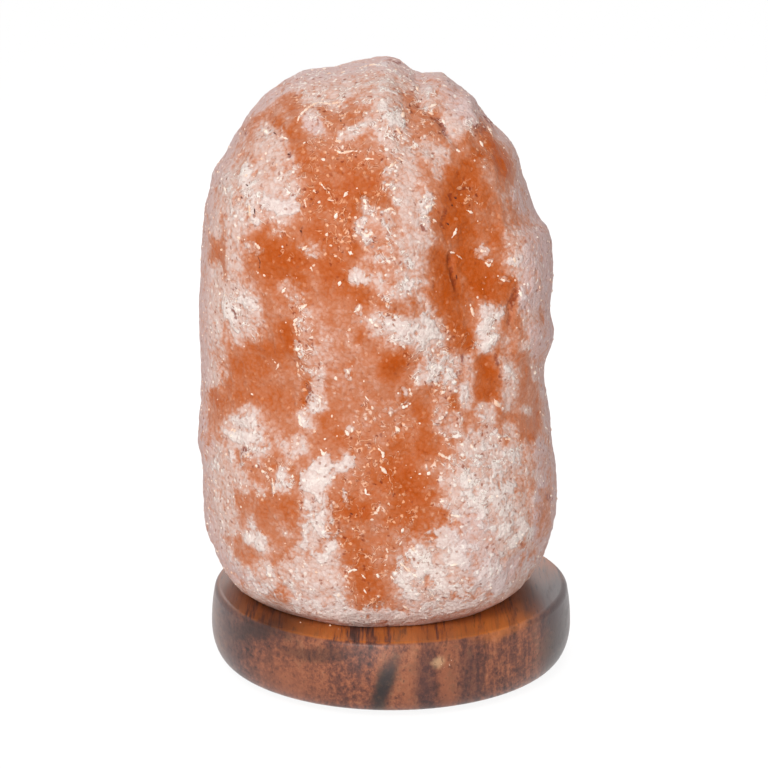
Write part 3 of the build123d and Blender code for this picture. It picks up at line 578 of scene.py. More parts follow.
tall = points * np.array((1.0, 1.0, 0.6))       # patches on the back run a little taller than wide
broadA, broadB, broadC = (rockNoise(label, tall) for label in ("patchesA", "patchesB", "patchesC"))
mid = rockNoise("mottle")
# what the back carries: where each look starts and is full on the noise, and how strong it is
behind = {
    "frost": smoothStep(0.12, 0.55, broadA + 0.4 * mid) * 0.85,
    "haze": smoothStep(-0.25, 0.3, broadA + 0.25 * mid) * 0.92,
    "amber": smoothStep(0.0, 0.45, broadB - 0.3 * broadA) * 1.0,
    "shade": smoothStep(0.5, 0.85, broadC + 0.5 * mid) * 0.5,
    "lilac": smoothStep(0.05, 0.5, broadC) * 0.7,
    "sparkle": smoothStep(0.0, 0.6, mid) * 0.8,
}
# the strokes of each look on the front, and how soft their edges are
drawnLooks = {
    "frost": (frostStrokes, 0.75), "haze": (hazeStrokes, 0.85), "amber": (amberStrokes, 0.85),
    "shade": (shadeStrokes, 0.6), "lilac": (lilacStrokes, 0.6), "sparkle": (sparkleStrokes, 0.6),
}
fields = {}
for label, (strokes, softness) in drawnLooks.items():
    fields[label] = strokeField(across, down, strokes, softness) * facing + behind[label] * (1 - facing)

crust = smoothStep(0.38, 0.68, fields["frost"] + 0.22 * rockNoise("crustEdge"))
swell = strokeField(across, down, reliefStrokes, 0.9, True) * facing * mm
chips = 1 - 2.2 * np.abs(rockNoise("chips"))                # flats that meet in ridges
facets = 0.5 - 1.6 * np.abs(rockNoise("facets", tall))
push = (saltRock["lumpDepth"] * rockNoise("lumps") + saltRock["chipDepth"] * (chips - 0.4)
        + saltRock["rippleDepth"] * rockNoise("ripple") + swell
        + (1 - facing) * saltRock["facetDepth"] * facets
        + crust * (saltRock["frostDepth"] + saltRock["frostGrain"] * rockNoise("crustGrain")))
push -= saltRock["crackDepth"] * smoothStep(0.3, 0.9, fields["shade"])
shaped = points + normals * (push * outer)[:, None]

# the rim is drawn out or in to the outline, seen along the camera's line; the plug holes inside bend with it
outlineFit = {
    "passes": 4,
    "sectors": 180,                          # the outline is compared in this many directions
    "overshoot": 1.2,                        # picture points past the outline as it was read
    "rimStart": 0.62, "rimFull": 0.97,       # points move between these shares of the way to the rim
    "seatStart": 27 * mm, "seatFull": 36 * mm,       # the same on the seat, from the axis
    "gainStart": 0.1, "gainFull": 0.25,      # seat points that hardly move the outline are left alone
    "leastGain": 0.2,
}


def aroundCentre(x, y):
    right, high = x - outlineCentre[0], outlineCentre[1] - y
    return np.arctan2(right, high), np.hypot(right, high)


def wrapped(angles, values):
    order = np.argsort(angles)
    angles, values = np.array(angles)[order], np.array(values)[order]
    return np.concatenate((angles - 2 * math.pi, angles, angles + 2 * math.pi)), np.tile(values, 3)


offSeat = smoothStep(0.0, saltRock["footFull"], aboveSeat)
targetTurn, targetReach = aroundCentre(*np.array(outline, float).T)
edges = np.linspace(-math.pi, math.pi, outlineFit["sectors"] + 1)
middles = (edges[:-1] + edges[1:]) / 2
wanted = np.interp(middles, *wrapped(targetTurn, targetReach)) + outlineFit["overshoot"]
for drawing in range(outlineFit["passes"]):
    seenAcross, seenDown = pictured(shaped)
    turn, reach = aroundCentre(seenAcross, seenDown)
    sector = np.clip(np.digitize(turn, edges) - 1, 0, len(middles) - 1)
    rims = np.array([reach[sector == index].max() for index in range(len(middles))])
    ratio = wanted / rims - 1
    ratio = sum(np.roll(ratio, step) * share for step, share in ((-1, 0.25), (0, 0.5), (1, 0.25)))
    rimness = reach / np.interp(turn, *wrapped(middles, rims))
    change = np.interp(turn, *wrapped(middles, ratio))
    change = change * smoothStep(outlineFit["rimStart"], outlineFit["rimFull"], rimness) * ~inBore
    pixelDepth = (shaped - np.array(cameraPlace)) @ np.array(forward) / pixelsPerUnit
    outX, outY = seenAcross - outlineCentre[0], outlineCentre[1] - seenDown
    # above the seat points move in the picture's plane, and on the seat straight out from the axis
    move = np.outer(outX, (1.0, 0, 0)) + np.outer(outY, upward)
    move *= (change * pixelDepth * offSeat)[:, None]
    radial = shaped[:, :2] / (np.hypot(shaped[:, 0], shaped[:, 1])[:, None] + 1e-9)
    gain = (radial[:, 0] * outX + radial[:, 1] * upward[1] * outY) / reach
    seatMove = change * reach * pixelDepth * (1 - offSeat) / np.maximum(gain, outlineFit["leastGain"])
    seatMove *= smoothStep(outlineFit["gainStart"], outlineFit["gainFull"], gain)
    seatMove *= smoothStep(outlineFit["seatStart"], outlineFit["seatFull"], fromAxis)
    move[:, :2] += radial * seatMove[:, None]
    shaped += move
    print("outline pass", drawing, "largest move", round(float(np.abs(change * reach).max()), 1), "points")
shaped[:, 2] = np.minimum(shaped[:, 2], crown + saltRock["crownRoom"])
skin.vertices.foreach_set("co", shaped.ravel())
skin.update()

# a pale lilac veil painted all along the rim, partly pale crust and partly painted sheen where the surface
# turns away, and a dark line painted where the rock meets the wood as painted contact shade
rimLooks = {
    "sheenStart": 0.90,                       # share of the way out to the rim
    "haze": 0.8, "lilac": 0.8, "shade": 0.6,
    "lilacStart": 3 * mm, "lilacFull": 14 * mm,      # heights above the wood
    "shadeStart": 0.7 * mm, "shadeFull": 0.1 * mm,
}
paintedRimSheen = smoothStep(rimLooks["sheenStart"], 1.0, rimness) * facing
lilacRise = smoothStep(rimLooks["lilacStart"], rimLooks["lilacFull"], aboveSeat)
paintedContactShade = smoothStep(rimLooks["shadeStart"], rimLooks["shadeFull"], aboveSeat)
for label, extra in (("haze", paintedRimSheen), ("lilac", paintedRimSheen * lilacRise), ("shade", paintedContactShade)):
    fields[label] = np.maximum(fields[label], rimLooks[label] * extra)
for label, values in fields.items():
    storeField(skin, label, values)
skin.polygons.foreach_set("use_smooth", [True] * len(skin.polygons))
print("crystal shaped:", len(skin.polygons), "faces")


saltGrains = {
    # noise scale and detail
    "clouds": (("Cloud", 115, 3.0), ("Clump", 260, 2.0), ("Sugar", 900, 3.0)),
    "nudge": 0.0014,               # m by which the cells of granules, crumbs and pits are bent
    "nudgeScale": 900,
    "granuleScale": 860, "granuleTint": 0.6, "granuleLift": 0.15,
    # cell scale, the share of cells without one, and its size beside a cell
    "dots": (("Crumb", 500, 0.52, 0.30), ("Pit", 600, 0.62, 0.33)),
    "waveScale": 300, "waveWarp": 1.1, "breakScale": 520, "breakRange": (0.46, 0.56),
    # the height on the wave that a line follows, and its half width
    "lines": (("Scribble", 0.5, 0.030), ("Groove", 0.455, 0.018)),
}


def buildSaltGrain():
    # clouds, clumps and fine sugar, with crumbs, pits, pale scribbles and the grooves beside them
    group, given, out = startGroup("saltGrain", (("Place", "Vector", (0, 0, 0)),), (
        ("Cloud", "Float"), ("Clump", "Float"), ("Sugar", "Float"),
        ("Crumb", "Float"), ("Pit", "Float"), ("Scribble", "Float"),
        ("Groove", "Float"), ("Granule", "Float")))
    where = given["Place"]
    for label, scale, detail in saltGrains["clouds"]:
        level = grain(group, where, scale, detail, 0.55)
        group.links.new(minus(group, level, 0.5), out[label])
    nudge = place(group, "ShaderNodeTexNoise", Vector=where, Scale=saltGrains["nudgeScale"]).outputs["Color"]
    loose = vectors(group, "ADD", where, scaledVector(group, nudge, saltGrains["nudge"]))

    def cellsAt(scale):
        cells = place(group, "ShaderNodeTexVoronoi", Vector=loose, Scale=scale)
        pick = place(group, "ShaderNodeSeparateColor", Color=cells.outputs["Color"]).outputs[0]
        return cells.outputs["Distance"], pick

    # rounded granules, painted lighter in the middle than at their edges as painted shading of each grain;
    # the same field raises them in the relief
    away, tint = cellsAt(saltGrains["granuleScale"])
    granule = minus(group, times(group, tint, saltGrains["granuleTint"]), away)
    group.links.new(plus(group, granule, saltGrains["granuleLift"]), out["Granule"])
    for label, scale, spare, size in saltGrains["dots"]:
        away, pick = cellsAt(scale)
        chosen = ease(group, pick, spare, spare + 0.06)
        dot = ease(group, away, size, size * 0.5)
        group.links.new(times(group, chosen, dot), out[label])
    wave = grain(group, where, saltGrains["waveScale"], 2.0, 0.6, saltGrains["waveWarp"])
    broken = ease(group, grain(group, where, saltGrains["breakScale"], 1.0), *saltGrains["breakRange"])
    for label, middle, width in saltGrains["lines"]:
        away = maths(group, "ABSOLUTE", minus(group, wave, middle))
        line = ease(group, away, width, width * 0.35)
        group.links.new(times(group, line, broken), out[label])
    return group


saltGrain = buildSaltGrain()

# the salt's colours from clear to crusted, and where each lies on that scale; the deepest orange at the clear
# end is partly a painted glow of light passing through clear salt
saltScale = (
    (0.00, paint(174, 75, 11)), (0.16, paint(182, 94, 47)), (0.32, paint(190, 120, 87)),
    (0.46, paint(203, 149, 127)), (0.62, paint(213, 179, 166)), (0.80, paint(221, 198, 190)),
    (1.00, paint(233, 218, 210)),
)
# stainAndShade is the red-brown of stained cracks, and the same colour paints the dark contact shade along
# the rock's foot
saltColours = {
    "stainAndShade": paint(132, 50, 16), "pitShade": paint(188, 142, 122), "crumb": paint(253, 244, 234),
    "salmon": paint(240, 178, 138), "lilac": paint(200, 170, 176),
}
saltMix = {
    # where the marks put a place on the scale, then how far the grain swings it
    "plain": 0.32, "amber": -0.24, "haze": 0.34, "frost": 0.06, "crust": 0.20,
    "cloud": 0.32, "clump": 0.36, "sugar": 0.46, "granule": 0.24,
    "veilSharp": 0.62, "veilSoft": 0.38,      # shares of the veil's broken edge and of its plain one
    "lilac": 0.5, "light": 0.85, "stainAndShade": 0.8,                # how strongly each shows
    "scribble": 0.9, "pitShade": 0.9, "groove": 0.6,
    "paleCrumbs": 0.8,                        # share of the crumbs that pale salt carries
}
# where each change starts and is full, then what it gives there, if that isn't 0 and 1
saltEases = {
    "swing": (0.0, 0.8, 0.55, 1.0), "lilac": (0.3, 0.7), "busy": (0.0, 0.7), "strewn": (0.0, 1.0, 0.3, 0.95),
    "crumb": (0.2, 0.55), "roughness": (0.2, 0.8, 0.36, 0.74), "loose": (-0.15, 0.15),
}
# edges broken by the grain: how much of each grain, then where the mark starts and is full
saltEdges = {
    "veil": ({"Cloud": 0.7, "Clump": 0.6, "Sugar": 0.3}, 0.13, 0.70),
    "crust": ({"Cloud": 0.9, "Clump": 1.5, "Sugar": 1.0}, 0.52, 0.68),
    "stainAndShade": ({"Sugar": 1.6, "Clump": 1.4}, 0.4, 0.9),
}
# how high each stands, as shares of the relief's depth
saltHeights = {
    "crust": 0.4, "granule": 0.8, "sugar": 0.7, "clump": 1.2, "light": 0.3, "shadedDent": -0.15, "stainAndShade": -0.1,
}
saltRelief = {"depth": 0.5 * mm, "strength": 0.75}


def attribute(tree, name):
    return place(tree, "ShaderNodeAttribute", {"attribute_name": name}).outputs["Fac"]


def weighted(tree, *pairs):
    total = 0.0
    for value, weight in pairs:
        total = plus(tree, total, times(tree, value, weight))
    return total


def colourScale(tree, value, stops):
    node = place(tree, "ShaderNodeValToRGB", Fac=value)
    marks = node.color_ramp.elements
    while len(marks) < len(stops):
        marks.new(0.5)
    for mark, (position, colour) in zip(marks, stops):
        mark.position, mark.color = position, colour
    return node.outputs["Color"]


def brokenEdge(tree, salt, mark, label, full=1.0):
    shares, low, high = saltEdges[label]
    grains = [(salt[name], share) for name, share in shares.items()]
    return ease(tree, weighted(tree, (mark, 1.0), *grains), low, high, 0.0, full)


def rockSaltMaterial():
    material, tree, shader, where = startMaterial("rockSalt", IOR=1.5, Specular_IOR_Level=0.12)
    salt = useGroup(tree, saltGrain, Place=where)
    frost, haze, amber, shade, lilac, sparkle = (attribute(tree, name) for name in
                                                 ("frost", "haze", "amber", "shade", "lilac", "sparkle"))
    # a veil has a fairly clear edge, which the grain breaks up
    veil = brokenEdge(tree, salt, haze, "veil")
    veil = plus(tree, times(tree, veil, saltMix["veilSharp"]), times(tree, haze, saltMix["veilSoft"]))
    pale = larger(tree, veil, frost)
    swing = ease(tree, pale, *saltEases["swing"])
    # solid crust where frost is strong, with edges broken by the grain
    crust = brokenEdge(tree, salt, frost, "crust")
    # the granules' painted shading, lighter in the middle and darker at the edges, goes into the colour here
    noisy = weighted(tree, (salt["Clump"], saltMix["clump"]), (salt["Sugar"], saltMix["sugar"]),
                     (salt["Granule"], saltMix["granule"]))
    level = weighted(tree, (amber, saltMix["amber"]), (veil, saltMix["haze"]), (frost, saltMix["frost"]),
                     (crust, saltMix["crust"]), (salt["Cloud"], saltMix["cloud"]),
                     (times(tree, noisy, swing), 1.0))
    level = plus(tree, level, saltMix["plain"])
    colour = colourScale(tree, level, saltScale)
    lilacAmount = times(tree, times(tree, lilac, saltMix["lilac"]), ease(tree, level, *saltEases["lilac"]))
    colour = mixColour(tree, lilacAmount, colour, saltColours["lilac"])
    # crumbs and pits nearly everywhere, pale scribbles and grooves in the busy places, and stained cracks,
    # whose stain colour also paints the contact shade along the foot
    # the crumbs and pale scribbles are partly white salt and partly painted glints on the lit side of each
    # grain
    busy = ease(tree, plus(tree, sparkle, salt["Cloud"]), *saltEases["busy"])
    strewn = larger(tree, ease(tree, busy, *saltEases["strewn"]), times(tree, pale, saltMix["paleCrumbs"]))
    light = larger(tree, times(tree, salt["Crumb"], strewn),
                   times(tree, salt["Scribble"], times(tree, busy, saltMix["scribble"])))
    stainAndShade = brokenEdge(tree, salt, shade, "stainAndShade", saltMix["stainAndShade"])
    # pits, and the grooves beside the scribbles, are painted darker as painted shade in the hollows and
    # beside each scribble
    shadedDent = larger(tree, times(tree, salt["Pit"], times(tree, strewn, saltMix["pitShade"])),
                  times(tree, salt["Groove"], times(tree, busy, saltMix["groove"])))
    colour = mixColour(tree, shadedDent, colour, saltColours["pitShade"], "MULTIPLY")
    colour = mixColour(tree, stainAndShade, colour, saltColours["stainAndShade"])
    # crumbs look salmon where the salt is clear, and white on the crust
    whiteness = ease(tree, level, *saltEases["crumb"])
    crumb = mixColour(tree, whiteness, saltColours["salmon"], saltColours["crumb"])
    colour = mixColour(tree, times(tree, light, saltMix["light"]), colour, crumb)
    tree.links.new(colour, shader.inputs["Base Color"])
    tree.links.new(ease(tree, level, *saltEases["roughness"]), shader.inputs["Roughness"])
    granules = times(tree, swing, saltHeights["granule"])
    height = weighted(tree, (crust, saltHeights["crust"]), (salt["Granule"], granules),
                      (salt["Sugar"], saltHeights["sugar"]), (salt["Clump"], saltHeights["clump"]),
                      (light, saltHeights["light"]), (shadedDent, saltHeights["shadedDent"]),
                      (stainAndShade, saltHeights["stainAndShade"]))
    relief(tree, shader, height, saltRelief["depth"], saltRelief["strength"])
    return material


rockSalt = rockSaltMaterial()
skin.materials.append(rockSalt)
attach(crystal, "stand")
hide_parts("salt_crystal")
print("crystal coloured")

# white streaks and dark specks that lie in the crystal's front

streakSettings = {
    "pixelSize": 0.285 * mm,      # one picture point at the crystal's front
    "step": 2.0,                  # picture points between the places where a path is laid on the skin
    "resample": 0.35 * mm,
    "sides": 6,
    "sink": 0.35,                 # how deep a streak lies, as a share of its width
    "thinnest": 0.35,             # shares of its width between which it swells and narrows
    "thickest": 1.35,
    "taper": 2.4,                 # how much it narrows at its ends
    "raggedness": 0.55 * mm,
    "raggedScale": 1300.0,
    "whiteWidth": 1.15, "darkWidth": 0.62, "fallenWidth": 1.0,     # shares of the widths read off the picture
    "seed": 11,
}

# each streak: half its width in picture points, then the points it runs through
whiteStreaks = (
    (1.5, (297, 123), (300, 115), (309, 107), (318, 102), (330, 104), (345, 101)),
    (1.2, (333, 141), (345, 141)), (1.3, (333, 149), (341, 153), (352, 151), (362, 151)),
    (1.6, (303, 143), (308, 142)), (1.6, (263, 129), (268, 133)), (1.3, (280, 136), (288, 139)),
    (1.5, (360, 67), (372, 65), (384, 65)), (1.7, (402, 107), (404, 113), (401, 119)),
    (1.4, (396, 127), (401, 134)), (1.6, (416, 86), (418, 91)), (1.6, (428, 107), (437, 104)),
    (1.4, (424, 111), (436, 115)), (1.6, (441, 118), (446, 126)), (1.6, (456, 149), (460, 152)),
    (1.3, (422, 124), (426, 126)), (1.3, (487, 125), (493, 137)), (1.2, (479, 139), (483, 147)),
    (1.1, (443, 85), (448, 87)), (1.3, (365, 159), (374, 159)), (1.4, (321, 159), (325, 160)),
    (1.4, (388, 168), (392, 165), (396, 162)), (1.5, (388, 174), (392, 172)), (1.2, (398, 157), (404, 161)),
    (1.5, (385, 185), (391, 184)), (1.6, (382, 192), (384, 191)), (1.5, (395, 181), (398, 180)),
    (1.3, (393, 190), (396, 187)), (1.6, (389, 193), (393, 197), (396, 200)),
    (1.2, (321, 184), (325, 189), (330, 193)), (1.4, (343, 198), (348, 191)), (1.5, (313, 190), (316, 193)),
    (1.5, (304, 199), (306, 207)), (1.3, (318, 203), (321, 200)), (1.2, (328, 200), (334, 201)),
    (1.5, (335, 219), (337, 213)), (1.8, (363, 199), (366, 203), (365, 210)), (1.6, (354, 217), (357, 218)),
    (1.5, (361, 232), (367, 236), (371, 232)), (1.5, (376, 220), (378, 218)),
    (1.2, (385, 211), (391, 208), (395, 211)), (1.3, (424, 208), (430, 206), (435, 204)),
    (1.3, (424, 215), (430, 219)), (1.2, (433, 219), (436, 222)), (1.3, (452, 238), (455, 233), (457, 227)),
    (1.3, (466, 210), (473, 213)), (1.2, (450, 252), (455, 253)), (0.9, (456, 254), (462, 259)),
    (2.0, (480, 251), (486, 251)), (1.5, (485, 262), (489, 266), (493, 260)), (1.6, (500, 279), (505, 281)),
    (1.2, (497, 275), (499, 277)), (1.6, (470, 303), (472, 310), (474, 317)), (1.6, (477, 296), (479, 300)),
    (1.2, (478, 304), (480, 305)), (2.0, (514, 257), (515, 263)), (1.6, (519, 290), (522, 297)),
    (1.2, (224, 187), (226, 192)), (1.5, (249, 204), (250, 220)), (1.5, (255, 243), (260, 249)),
    (1.6, (237, 237), (240, 239)), (1.3, (256, 271), (259, 274)), (1.5, (326, 236), (328, 232)),
    (1.2, (327, 245), (334, 246)), (1.3, (338, 287), (341, 281)), (1.4, (282, 293), (286, 287)),
    (1.6, (302, 250), (308, 245)), (1.2, (310, 265), (313, 273)), (1.6, (348, 252), (353, 254)),
    (1.5, (299, 316), (294, 322), (296, 330), (297, 338)), (1.9, (296, 345), (298, 352), (300, 355)),
    (1.5, (297, 362), (299, 372)), (1.4, (300, 310), (307, 304)), (1.5, (354, 312), (358, 310), (360, 304)),
    (1.5, (369, 318), (373, 324), (379, 327)), (1.5, (346, 331), (351, 329)), (1.3, (276, 370), (279, 363)),
    (1.6, (346, 368), (349, 374)), (1.3, (335, 376), (337, 381)), (0.9, (365, 396), (370, 402)),
    (1.3, (372, 406), (373, 410)), (1.5, (345, 430), (349, 436)), (1.4, (352, 428), (352, 434)),
    (1.4, (301, 404), (302, 409)), (1.4, (299, 414), (300, 424), (304, 428)), (1.3, (313, 431), (316, 432)),
    (1.4, (320, 449), (324, 455), (327, 450)), (1.4, (378, 448), (383, 453), (383, 460)),
    (1.4, (380, 466), (387, 474)), (1.6, (401, 402), (404, 408), (411, 403)), (1.5, (412, 396), (409, 388)),
    (1.4, (390, 410), (391, 417)), (1.7, (395, 426), (400, 432)), (1.5, (434, 383), (440, 386)),
    (2.2, (442, 391), (444, 394)), (1.7, (493, 397), (497, 404), (503, 408)), (1.3, (483, 405), (481, 410)),
    (2.0, (497, 434), (500, 438)), (1.5, (505, 439), (511, 439)), (1.5, (460, 441), (464, 446)),
    (1.3, (471, 444), (473, 450)), (1.4, (437, 452), (443, 456), (449, 459)), (1.7, (418, 474), (421, 474)),
    (1.7, (427, 472), (431, 475)), (1.8, (534, 373), (536, 372)), (1.5, (440, 502), (447, 500)),
    (1.6, (451, 515), (460, 517)), (1.8, (431, 517), (433, 517)), (2.2, (401, 530), (404, 531)),
    (1.5, (399, 562), (408, 570), (418, 578)), (0.8, (430, 592), (436, 599)), (1.2, (450, 566), (458, 564)),
    (1.7, (272, 478), (274, 488), (273, 497)), (1.8, (268, 469), (272, 469)), (1.6, (261, 471), (265, 472)),
    (1.4, (255, 466), (258, 466)), (2.4, (245, 457), (250, 453)), (1.8, (225, 454), (228, 456)),
    (1.9, (233, 430), (236, 431)), (1.5, (251, 433), (253, 434)), (1.4, (291, 476), (294, 477)),
    (1.6, (240, 507), (242, 507)), (1.7, (246, 531), (248, 532)), (1.5, (279, 499), (280, 499)),
    (1.8, (352, 528), (354, 530)), (1.8, (357, 531), (359, 532)), (1.9, (345, 575), (347, 578)),
    (1.5, (345, 586), (348, 587)), (1.3, (347, 573), (352, 570), (357, 570)), (1.0, (361, 574), (366, 579)),
    (1.0, (363, 588), (366, 593)), (2.3, (337, 595), (340, 596)), (1.9, (268, 573), (271, 577)),
    (1.5, (315, 572), (318, 573)), (1.5, (373, 515), (377, 512), (380, 506)), (1.2, (369, 519), (375, 520)),
    (1.0, (365, 486), (366, 494), (372, 495)), (1.5, (388, 502), (390, 506)), (1.3, (396, 505), (398, 505)),
    (1.3, (377, 574), (379, 578)), (1.6, (384, 566), (386, 565)), (1.2, (391, 576), (394, 580)),
    (1.0, (386, 547), (388, 553)), (1.0, (399, 546), (402, 541)), (1.7, (411, 545), (416, 553)),
    (1.3, (403, 606), (409, 610)),
)
darkSpecks = (
    (1.6, (246, 184), (248, 186)), (1.4, (240, 196), (243, 199)), (1.2, (258, 180), (260, 180)),
    (1.1, (250, 174), (252, 174)), (1.8, (287, 154), (290, 155)), (1.2, (273, 132), (276, 134)),
    (1.7, (300, 230), (302, 233)), (1.4, (317, 203), (319, 205)), (1.7, (421, 226), (423, 228)),
    (1.8, (445, 213), (447, 215)), (1.6, (447, 223), (449, 225)), (1.7, (454, 197), (457, 199)),
    (1.5, (451, 205), (453, 206)), (1.5, (462, 204), (463, 206)), (1.5, (420, 99), (423, 100)),
    (1.1, (424, 105), (425, 106)), (1.4, (409, 103), (410, 107)), (1.3, (372, 242), (375, 243)),
    (1.0, (232, 305), (234, 309), (236, 315)), (1.3, (235, 287), (237, 289)),
    (1.0, (258, 256), (260, 262), (259, 270)), (1.2, (456, 274), (457, 280)), (1.3, (480, 344), (481, 346)),
    (1.0, (478, 350), (479, 352)), (1.2, (340, 120), (342, 123)), (1.1, (341, 152), (344, 152)),
    (1.2, (445, 80), (450, 82)), (1.1, (464, 137), (466, 137)), (1.5, (477, 124), (479, 123)),
    (1.3, (312, 379), (313, 380)), (1.0, (254, 206), (255, 216)), (1.2, (467, 502), (468, 503)),
    (1.1, (425, 589), (426, 590)), (1.1, (450, 581), (451, 582)), (1.2, (282, 291), (284, 292)),
    (1.1, (404, 337), (405, 338)), (1.2, (520, 260), (521, 261)), (1.3, (508, 404), (509, 405)),
    (1.0, (340, 118), (341, 119)), (1.2, (350, 513), (353, 515)), (1.2, (398, 338), (399, 339)),
    (1.1, (455, 435), (456, 436)),
)


def randomValue(tree, seed, least=0.0, most=1.0):
    # a number, or a vector where the limits are vectors
    kind, first, out = ("FLOAT_VECTOR", 0, 0) if isinstance(most, tuple) else ("FLOAT", 2, 1)
    node = place(tree, "FunctionNodeRandomValue", {"data_type": kind}, Seed=seed)
    node.inputs[first].default_value, node.inputs[first + 1].default_value = least, most
    return node.outputs[out]


def finishTree(tree, made, material, out):
    real = place(tree, "GeometryNodeRealizeInstances", Geometry=made.outputs[0])
    final = place(tree, "GeometryNodeSetMaterial", Geometry=real.outputs[0], Material=material)
    tree.links.new(final.outputs[0], out[0])
    return tree


def buildStreakTree(name, material):
    tree, given, out = startGroup(name, (
        ("Path", "Geometry", None), ("Point spacing", "Float", streakSettings["resample"]),
        ("Raggedness", "Float", streakSettings["raggedness"]), ("Sides", "Int", streakSettings["sides"]),
        ("Seed", "Int", streakSettings["seed"]),
    ), (("Streaks", "Geometry"),), "GeometryNodeTree")
    curve = place(tree, "GeometryNodeMeshToCurve", Mesh=given["Path"])
    even = place(tree, "GeometryNodeResampleCurve", {"mode": "LENGTH"}, Curve=curve.outputs[0],
                 Length=given["Point spacing"])
    width = place(tree, "GeometryNodeInputNamedAttribute", {"data_type": "FLOAT"}, Name="width")
    uneven = randomValue(tree, given["Seed"], streakSettings["thinnest"], streakSettings["thickest"])
    along = place(tree, "GeometryNodeSplineParameter").outputs["Factor"]
    middle = minus(tree, along, 0.5)
    narrowing = times(tree, times(tree, middle, middle), streakSettings["taper"])
    taper = minus(tree, 1.0, narrowing)
    radius = times(tree, times(tree, width.outputs["Attribute"], uneven), taper)
    sized = place(tree, "GeometryNodeSetCurveRadius", Curve=even.outputs[0], Radius=radius)
    ring = place(tree, "GeometryNodeCurvePrimitiveCircle", Resolution=given["Sides"], Radius=1.0)
    tube = place(tree, "GeometryNodeCurveToMesh", Curve=sized.outputs[0], Profile_Curve=ring.outputs[0],
                 Fill_Caps=True, Scale=radius)
    wander = place(tree, "ShaderNodeTexNoise", Scale=streakSettings["raggedScale"], Detail=2.0)
    offset = vectors(tree, "SUBTRACT", wander.outputs["Color"], (0.5, 0.5, 0.5))
    offset = scaledVector(tree, offset, given["Raggedness"])
    ragged = place(tree, "GeometryNodeSetPosition", Geometry=tube.outputs[0], Offset=offset)
    return finishTree(tree, ragged, material, out)


def layStreaks(name, paths, material, fatten, ground):
    # each path is followed across the ground in short steps, so that it hugs the surface
    spots, edges, widths = [], [], []
    for halfWidth, *corners in paths:
        radius = halfWidth * streakSettings["pixelSize"] * fatten
        last = None
        for (x0, y0), (x1, y1) in zip(corners, corners[1:]):
            steps = max(1, round(math.hypot(x1 - x0, y1 - y0) / streakSettings["step"]))
            for step in range(0 if last is None else 1, steps + 1):
                t = step / steps
                ray = rayThrough(x0 + t * (x1 - x0), y0 + t * (y1 - y0))
                hit, normal, _, _ = ground.ray_cast(cameraPlace, ray)
                if hit is None:
                    continue
                spots.append(hit - normal * (radius * streakSettings["sink"]))
                widths.append(radius)
                if last is not None:
                    edges.append((last, len(spots) - 1))
                last = len(spots) - 1
    mesh = bpy.data.meshes.new(name)
    mesh.from_pydata(spots, edges, [])
    mesh.attributes.new("width", "FLOAT", "POINT").data.foreach_set("value", widths)
    piece = linkNew(name, mesh)
    modifier = piece.modifiers.new("streaks", "NODES")
    modifier.node_group = buildStreakTree(name + "Tree", material)
    settle(piece)
    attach(piece, "stand")
    print(name, "laid:", len(piece.data.polygons), "faces")


def crumbMaterial(name, light, dark, roughness):
    material, tree, shader, where = startMaterial(name, Roughness=roughness, IOR=1.5, Specular_IOR_Level=0.25)
    salt = useGroup(tree, saltGrain, Place=where)
    colour = mixColour(tree, ease(tree, salt["Clump"], *saltEases["loose"]), dark, light)
    tree.links.new(colour, shader.inputs["Base Color"])
    relief(tree, shader, salt["Sugar"], 0.2 * mm, 0.6)
    return material


whiteSalt = crumbMaterial("whiteSalt", paint(249, 233, 218), paint(234, 196, 170), 0.45)
darkMineral = crumbMaterial("darkMineral", paint(120, 52, 32), paint(72, 26, 16), 0.6)
# a few crumbs have dropped on the wood
fallenCrumbs = (
    (1.3, (312, 627), (314, 627)), (1.4, (329, 625), (331, 626)), (0.8, (338, 629), (339, 629)),
    (0.9, (300, 622), (301, 623)), (0.8, (445, 661), (446, 662)), (0.9, (449, 664), (450, 666)),
    (0.8, (444, 668), (445, 669)), (0.8, (451, 660), (452, 661)), (0.7, (441, 664), (442, 665)),
    (0.7, (447, 671), (448, 671)),
)


def surfaceOf(mesh, places):
    return BVHTree.FromPolygons([Vector(p) for p in places], [tuple(face.vertices) for face in mesh.polygons])


rockFace = surfaceOf(skin, shaped)
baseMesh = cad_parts["wooden_base"].data
woodFace = surfaceOf(baseMesh, [point.co for point in baseMesh.vertices])
layStreaks("salt_white_streaks", whiteStreaks, whiteSalt, streakSettings["whiteWidth"], rockFace)
layStreaks("salt_dark_specks", darkSpecks, darkMineral, streakSettings["darkWidth"], rockFace)
layStreaks("salt_fallen_crumbs", fallenCrumbs, whiteSalt, streakSettings["fallenWidth"], woodFace)

# loose crumbs of salt over the whole crystal

crumbSettings = {
    "perSquareMetre": 42000.0,
    "smallest": 0.14 * mm,
    "largest": 0.46 * mm,
    "smallBias": 2.5,             # above 1, small ones are commoner than large ones
    "leastShape": (0.7, 0.7, 0.45), "mostShape": (1.5, 1.1, 0.8),     # length, breadth and height
    "tumble": (0.7, 0.7, 6.28),   # most they are turned about each axis
    "clearStart": 2 * mm, "clearFull": 6 * mm,      # heights above the wood: none lower, all of them higher
    "onClearSalt": 0.35,          # their number there, as a share of that on hazy salt
    "seed": 5, "shapeSeed": 3, "spinSeed": 9,
}


